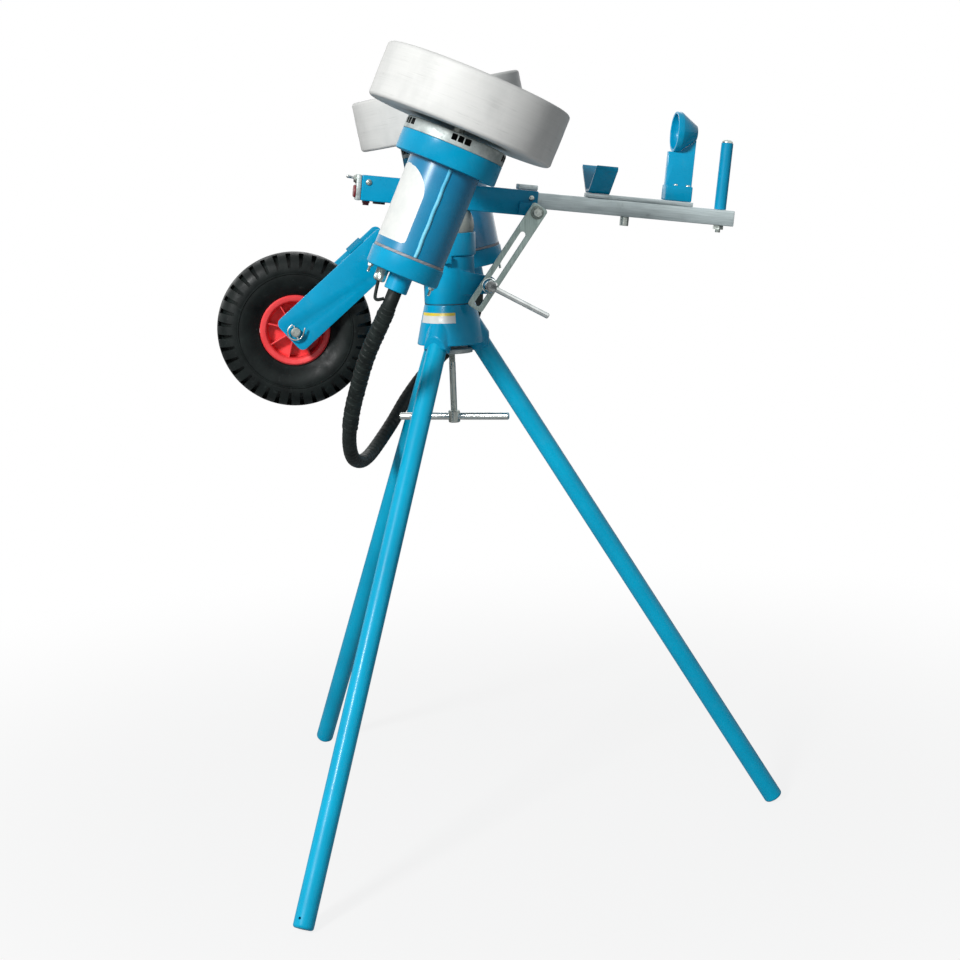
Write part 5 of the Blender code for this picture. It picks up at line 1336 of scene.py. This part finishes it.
# Motors and their arms
# A painted ring clamps each motor's cast end bell on a welded arm. Below hang the painted
# body with its rolled seam, a grey gasket, the end cap with its cable gland, and two tie rods.
wheel_x, wheel_y, wheel_z, wheel_twist = -0.0066, 0.222, 0.186, 17.0
bell_top, bell_thick, bell_r = 0.047, 0.019, 0.0795
bell_low = -bell_top - bell_thick
shaft_hole_r = 0.0088
vent_low, vent_high, vent_depth = 0.0125, 0.0030, 0.0180
vent_edges = ((-0.0150, -0.0066), (-0.0048, 0.0036), (0.0054, 0.0150))
vent_count, vent_start = 5, 270
ring_thick, ring_bore = 0.0317, 0.0615
ring_high = bell_low - gap
ring_low = ring_high - ring_thick
motor_r, motor_bottom, motor_wall = 0.055, 0.2385, 0.004
inside = motor_r - motor_wall
gasket_high, gasket_low, gasket_r = -motor_bottom - gap, -motor_bottom - 0.0040, 0.0555
cap_high = gasket_low - gap
cap_low = gasket_low - 0.0290
cap_r, boss_r = 0.0570, 0.0180
boss_low = cap_low - 0.0255
gland_x, gland_r = -0.0290, 0.0094
tie_x, tie_r, tie_thread, tie_pitch = 0.049, 0.0022, 0.0003, 0.0006
arm_half, arm_low, arm_high = 0.018, 0.0955, 0.1195
line_places = {}
for side, sign in both_sides:
    line_places[side] = (Matrix.Translation((wheel_x, sign * wheel_y, wheel_z))
                         @ Matrix.Rotation(math.radians(-sign * wheel_twist), 4, "Y"))
saddle = block((-0.052, -beam_half, beam_high + gap), (0.040, beam_half, 0.0975), 0.0020, 3)
for side, sign in both_sides:
    ring_depth = bell_top + bell_thick + gap + ring_thick / 2
    x = wheel_x + sign * ring_depth * math.sin(math.radians(wheel_twist))
    ends = sorted((-sign * beam_half, sign * (wheel_y - bell_r + 0.012)))
    arm = block((x - arm_half, ends[0], arm_low), (x + arm_half, ends[1], arm_high), 0.0030, 4)
    shape_with(saddle, arm, "UNION")
for side, line in line_places.items():
    shape_with(saddle, put(bar((0, 0, -0.16), (0, 0, -0.02), bell_r + gap, 112), line))
soften(saddle, 0.0005, 2, 50)
settle(saddle, "welded_arm_frame", head_place, "head", plate_paint)
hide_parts("arm_frame")

# Painted shade: a near-black finish laid on the walls of the bell's vent recesses, so they read as dark holes.
vent_painted_shade, _ = aged_finish(
    "painted_shade_inside_vents", (22, 25, 25), 0.7, 0.0, tones=((16, 19, 19), (46, 51, 50)), clouds=((140, 6), 0.8),
)
gasket_grey, _ = aged_finish(
    "grey_gasket", (150, 150, 152), 0.6, 0.0,
    tones=((164, 164, 168), (112, 112, 118)), clouds=((70, 8, (1, 1, 8)), 1),
)
motor_paint = sky_blue("sky_blue_gloss_on_motor", wear=0.2, gloss=0.24, low=(0, 116, 158), high=(0, 128, 170))
motor_shader = motor_paint.node_tree.nodes["Principled BSDF"]
motor_shader.inputs["Coat Weight"].default_value = 0.85
motor_shader.inputs["Coat Roughness"].default_value = 0.24


def sleeve(radius, high, low, sides):
    """A plain tube about Z between two heights, as thick as the casing's wall or more."""
    return turned([(inside, high), (radius, high), (radius, low), (inside, low), (inside, high)],
                  sides, bore=True)


for side, line in line_places.items():
    place = head_place @ line
    bell = turned(
        [(shaft_hole_r, -bell_top), (0.0240, -bell_top), (0.0260, -bell_top - 0.0020),
         (0.0560, -bell_top - 0.0020), (0.0590, -bell_top), (bell_r - 0.0042, -bell_top),
         (bell_r - 0.0010, -bell_top - 0.0014), (bell_r, -bell_top - 0.0045), (bell_r, bell_low + 0.0006),
         (bell_r - 0.0006, bell_low), (shaft_hole_r, bell_low), (shaft_hole_r, -bell_top)],
        128, bore=True,
    )
    vents = []
    for i in range(vent_count):
        for left_edge, right_edge in vent_edges:
            vent = block((bell_r - vent_depth, left_edge, -bell_top - vent_low),
                         (bell_r + 0.004, right_edge, -bell_top - vent_high), 0.0009, 2)
            turn = math.radians(vent_start + 360 // vent_count * i)
            vents.append(put(vent, Matrix.Rotation(turn, 4, "Z")))
    shape_with(bell, joined(vents))
    settle(bell, "cast_end_bell_" + side, place, "head", cast_grey)
    # The vent walls take the near-black finish, as painted shade inside the recesses.
    bell.data.materials.append(vent_painted_shade)
    to_motor = place.inverted()
    for face in bell.data.polygons:
        spot = to_motor @ face.center
        below_top = -bell_top - spot.z
        in_wall = 0.05 < math.hypot(spot.x, spot.y) < bell_r - 0.0006
        if in_wall and 0.0028 < below_top < 0.0127:
            face.material_index = 1
    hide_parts("end_bell_" + side)

    ring = turned(
        [(ring_bore, ring_high), (bell_r - 0.0008, ring_high), (bell_r, ring_high - 0.0008),
         (bell_r, ring_low + 0.0022), (bell_r - 0.0008, ring_low + 0.0007), (bell_r - 0.0024, ring_low),
         (ring_bore + 0.0012, ring_low), (ring_bore, ring_low + 0.0012), (ring_bore, ring_high)],
        128, bore=True,
    )
    settle(ring, "clamp_ring_" + side, place, "head", plate_paint)
    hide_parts("mount_ring_" + side)

    casing = sleeve(motor_r, ring_high, -motor_bottom, 128)
    settle(casing, "motor_casing_" + side, place, "head", motor_paint)
    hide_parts("motor_body_" + side)

    gasket = sleeve(gasket_r, gasket_high, gasket_low, 112)
    settle(gasket, "cap_gasket_" + side, place, "head", gasket_grey)
    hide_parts("motor_gasket_" + side)

    cap = turned(
        [(boss_r - 0.0012, boss_low), (boss_r, boss_low + 0.0012), (boss_r, cap_low - 0.0024),
         (boss_r + 0.0016, cap_low - 0.0004), (boss_r + 0.0034, cap_low), (cap_r - 0.0034, cap_low),
         (cap_r - 0.0010, cap_low + 0.0011), (cap_r, cap_low + 0.0034), (cap_r, cap_high - 0.0008),
         (cap_r - 0.0008, cap_high), (shaft_hole_r, cap_high), (shaft_hole_r, -0.2580)],
        112,
    )
    settle(cap, "painted_end_cap_" + side, place, "head", plate_paint)
    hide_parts("motor_cap_" + side)

    gland = turned(
        [(0.0035, cap_low - 0.0210), (0.0062, cap_low - 0.0208), (0.0086, cap_low - 0.0192),
         (gland_r, cap_low - 0.0172), (gland_r, cap_low - 0.0104), (0.0088, cap_low - 0.0100),
         (0.0088, cap_low - 0.0092)]
        + [(0.0090 + 0.0006 * (i % 2), cap_low - 0.0090 + 0.0008 * i) for i in range(1, 11)]
        + [(gland_r, cap_low - gap)],
        48,
    )
    shape_with(gland, hex_nut(0.0104, 0.0052, cap_low - 0.0162), "UNION")
    settle(gland, "cable_gland_body_" + side, place @ Matrix.Translation((gland_x, 0, 0)), "head", bolt_zinc)
    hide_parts("cable_gland_" + side)
    for mark, x in (("a", -tie_x), ("b", tie_x)):
        thread = [(tie_r - tie_thread * (i % 2), cap_low - 0.0128 + tie_pitch * i) for i in range(21)]
        tie = turned([(0.0019, cap_low - 0.0135), (tie_r, cap_low - 0.0131)] + thread, 24)
        shape_with(tie, hex_nut(0.0046, 0.0038, cap_low - 0.0041), "UNION")
        tie_washer = turned([(0.0050, cap_low - 0.0008), (0.0052, cap_low - 0.0006),
                             (0.0052, cap_low - 0.0001)], 32)
        shape_with(tie, tie_washer, "UNION")
        tie_place = place @ Matrix.Translation((x, 0, 0))
        settle(tie, "tie_rod_%s_%s" % (side, mark), tie_place, "head", bolt_zinc)


# Seam and blank label of the near motor
# The casing is rolled from sheet, and its folded seam runs down the side. In front of it a
# white arched label is stuck on, left plain.
seam_angles = {"near": -86.0, "far": 118.0}
seam_top, seam_steps, seam_bead_r = -0.0995, 45, 0.0029
label_middle, label_half_angle = -162.0, 53.0
label_high, label_low, label_shoulder = -0.1115, -0.2265, 0.071
label_corner, label_corner_angle = 0.006, 6.0
# Painted highlight: the whole bead is painted a lighter blue, standing in for the light its crest catches.
seam_highlight_paint = sky_blue("sky_blue_painted_highlight_on_seam", wear=0.4, gloss=0.3,
                      low=(52, 160, 196), high=(126, 204, 226))
for side, line in line_places.items():
    a = math.radians(seam_angles[side])
    seam_r = motor_r - 0.0003
    route = []
    for i in range(seam_steps + 1):
        z = seam_top - (motor_bottom + seam_top - 0.0004) * i / seam_steps
        wobble = 0.00035 * math.sin(i * 0.5) / motor_r
        route.append(Vector((seam_r * math.cos(a + wobble), seam_r * math.sin(a + wobble), z)))
    bead = wound_tube("seam_bead", route, lambda run, turn: seam_bead_r + 0.00012 * math.sin(run * 500), 20)
    settle(bead, "casing_seam_" + side, head_place @ line, "head", seam_highlight_paint, 60)


def label_angle(u, z):
    """Half an arch: the label narrows toward its top in a quarter of an ellipse."""
    arch_low = label_low + label_shoulder
    share = max(0.0, min(1.0, (z - arch_low) / (label_high - arch_low)))
    half_angle = label_half_angle * math.sqrt(max(0.0, 1.0 - share ** 2)) if share > 0 else label_half_angle
    bottom = max(0.0, label_corner - (z - label_low)) / label_corner
    half_angle -= label_corner_angle * (1.0 - math.sqrt(max(0.0, 1.0 - bottom ** 2)))
    return label_middle + (2 * u - 1) * half_angle


casing_near = bpy.data.objects["motor_casing_near"]
wrapped_sheet("blank_arched_label", casing_near, head_place @ line_places["near"],
              rays_inward(label_angle, label_high - 0.0002, label_low),
              28, 40, vinyl_thick, label_vinyl, "head")


# Throwing wheels
# Off-white rubber tyres with a slightly crowned face and round shoulders, bonded on a spoked
# aluminium hub that is keyed on the motor's shaft. Use has left grey streaks round the face.
wheel_r, wheel_half, wheel_shoulder = 0.146, 0.084 / 2, 0.0065
hub_outer_r, hub_half, hub_core_r, hub_web, shaft_r = 0.055, 0.062 / 2, 0.020, 0.005, 0.008
hole_count, hole_r = 4, 0.0085
armature_r, armature_high, armature_low = 0.036, -0.108, -0.208


def off_white(name, place):
    """Off-white rubber with fine grey streaks round the wheel's own axis and clouds of field dirt."""
    turn = place.to_euler()
    middle = place.translation
    rubber, shader = new_finish(name, (204, 204, 201), 0.62)
    shader.inputs["Specular IOR Level"].default_value = 0.3
    streak = mottle(rubber, 9, 8, (1.0, 1.0, 40.0), turn, middle)
    cloud = mottle(rubber, 13, 5, (1, 1, 0.6), turn, middle)
    clean = stain(rubber, (209, 209, 206), (199, 200, 197), between(rubber, streak, 0, 0.4, 0.42, 0.66))
    clouded = stain(rubber, clean, (168, 170, 168), between(rubber, cloud, 0, 0.5, 0.46, 0.78))
    worn_spots = mottle(rubber, 26, 8, (1, 1, 3), turn, middle)
    rubbed = add_node(rubber.node_tree, "Math", operation="MULTIPLY")
    rubber.node_tree.links.new(between(rubber, streak, 0, 1, 0.5, 0.7), rubbed.inputs[0])
    rubber.node_tree.links.new(between(rubber, worn_spots, 0, 0.8, 0.55, 0.75), rubbed.inputs[1])
    marked = stain(rubber, clouded, (164, 164, 160), rubbed.outputs["Value"])
    rubber.node_tree.links.new(marked, shader.inputs["Base Color"])
    rubber.node_tree.links.new(between(rubber, cloud, 0.5, 0.74), shader.inputs["Roughness"])
    relief(rubber, shader, streak, 0.06, 0.0004)
    return rubber


hub_metal, _ = aged_finish(
    "machined_hub", (150, 158, 156), 0.4, 0.85,
    tones=((158, 166, 164), (104, 110, 108)), clouds=((60, 8), 0.9),
    gloss=((45, 6), 0.32, 0.55), bumps=((260, 6), 0.1, 0.0004),
)
for side, line in line_places.items():
    place = head_place @ line
    body = "throwing_wheel_" + side
    shoulder = arc(wheel_r - wheel_shoulder, wheel_half - wheel_shoulder, wheel_shoulder, 86, 14, 9)
    upper_face = [
        (hub_outer_r + 0.0004, wheel_half * 0.72), (hub_outer_r + 0.0018, wheel_half * 0.745),
        (hub_outer_r + 0.0200, wheel_half * 0.958), (hub_outer_r + 0.0235, wheel_half * 0.975),
        (0.120, wheel_half * 0.998), (0.1290, wheel_half),
    ]
    crown = [(wheel_r - 0.0003, wheel_half * 0.55), (wheel_r, wheel_half * 0.2)]
    throwing_tyre = turned(both_faces(upper_face + shoulder + crown), 192, bore=True)
    rubber = off_white("off_white_rubber_" + side, place)
    settle(throwing_tyre, "throwing_tyre_" + side, place, body, rubber, 40)
    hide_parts("wheel_tyre_" + side)

    hub_line = [
        (shaft_r + 0.0004, hub_half - 0.0008), (shaft_r + 0.0012, hub_half), (hub_core_r - 0.0010, hub_half),
        (hub_core_r, hub_half - 0.0010), (hub_core_r + 0.0006, hub_web + 0.0030),
        (hub_core_r + 0.0036, hub_web), (hub_outer_r - 0.0092, hub_web),
        (hub_outer_r - 0.0064, hub_web + 0.0028), (hub_outer_r - 0.0058, hub_half - 0.0008),
        (hub_outer_r - 0.0050, hub_half), (hub_outer_r - 0.0004, hub_half),
    ]
    hub = turned(both_faces(hub_line), 112, bore=True)
    hole_line_r = (hub_core_r + hub_outer_r - 0.006) / 2
    holes = []
    for i in range(hole_count):
        a = math.tau * (i + 0.2) / hole_count
        x, y = hole_line_r * math.cos(a), hole_line_r * math.sin(a)
        holes.append(bar((x, y, -0.02), (x, y, 0.02), hole_r, 40))
    shape_with(hub, joined(holes))
    soften(hub, 0.0005, 2, 50)
    settle(hub, "spoked_hub_" + side, place, body, hub_metal)
    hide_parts("wheel_hub_" + side)

    shaft = turned(
        [(shaft_r, -0.256), (shaft_r, -0.255), (shaft_r, armature_low), (armature_r, armature_low),
         (armature_r, armature_high), (shaft_r, armature_high), (shaft_r, hub_half + 0.005),
         (shaft_r - 0.001, hub_half + 0.006)],
        56,
    )
    shape_with(shaft, bar((0, 0, hub_half), (0, 0, hub_half + 0.02), 0.0022, 24))
    settle(shaft, "motor_shaft_and_armature_" + side, place, body, bolt_zinc)
    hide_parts("motor_shaft_" + side)
    lock_low, lock_high = hub_half + 0.0002, hub_half + 0.0036
    lock = turned([(0.0085, lock_low), (0.0125, lock_low), (0.0130, lock_low + 0.0006),
                   (0.0130, lock_high - 0.0006), (0.0125, lock_high), (0.0085, lock_high),
                   (0.0085, lock_low)], 56, bore=True)
    settle(lock, "hub_lock_washer_" + side, place, body, bolt_zinc)
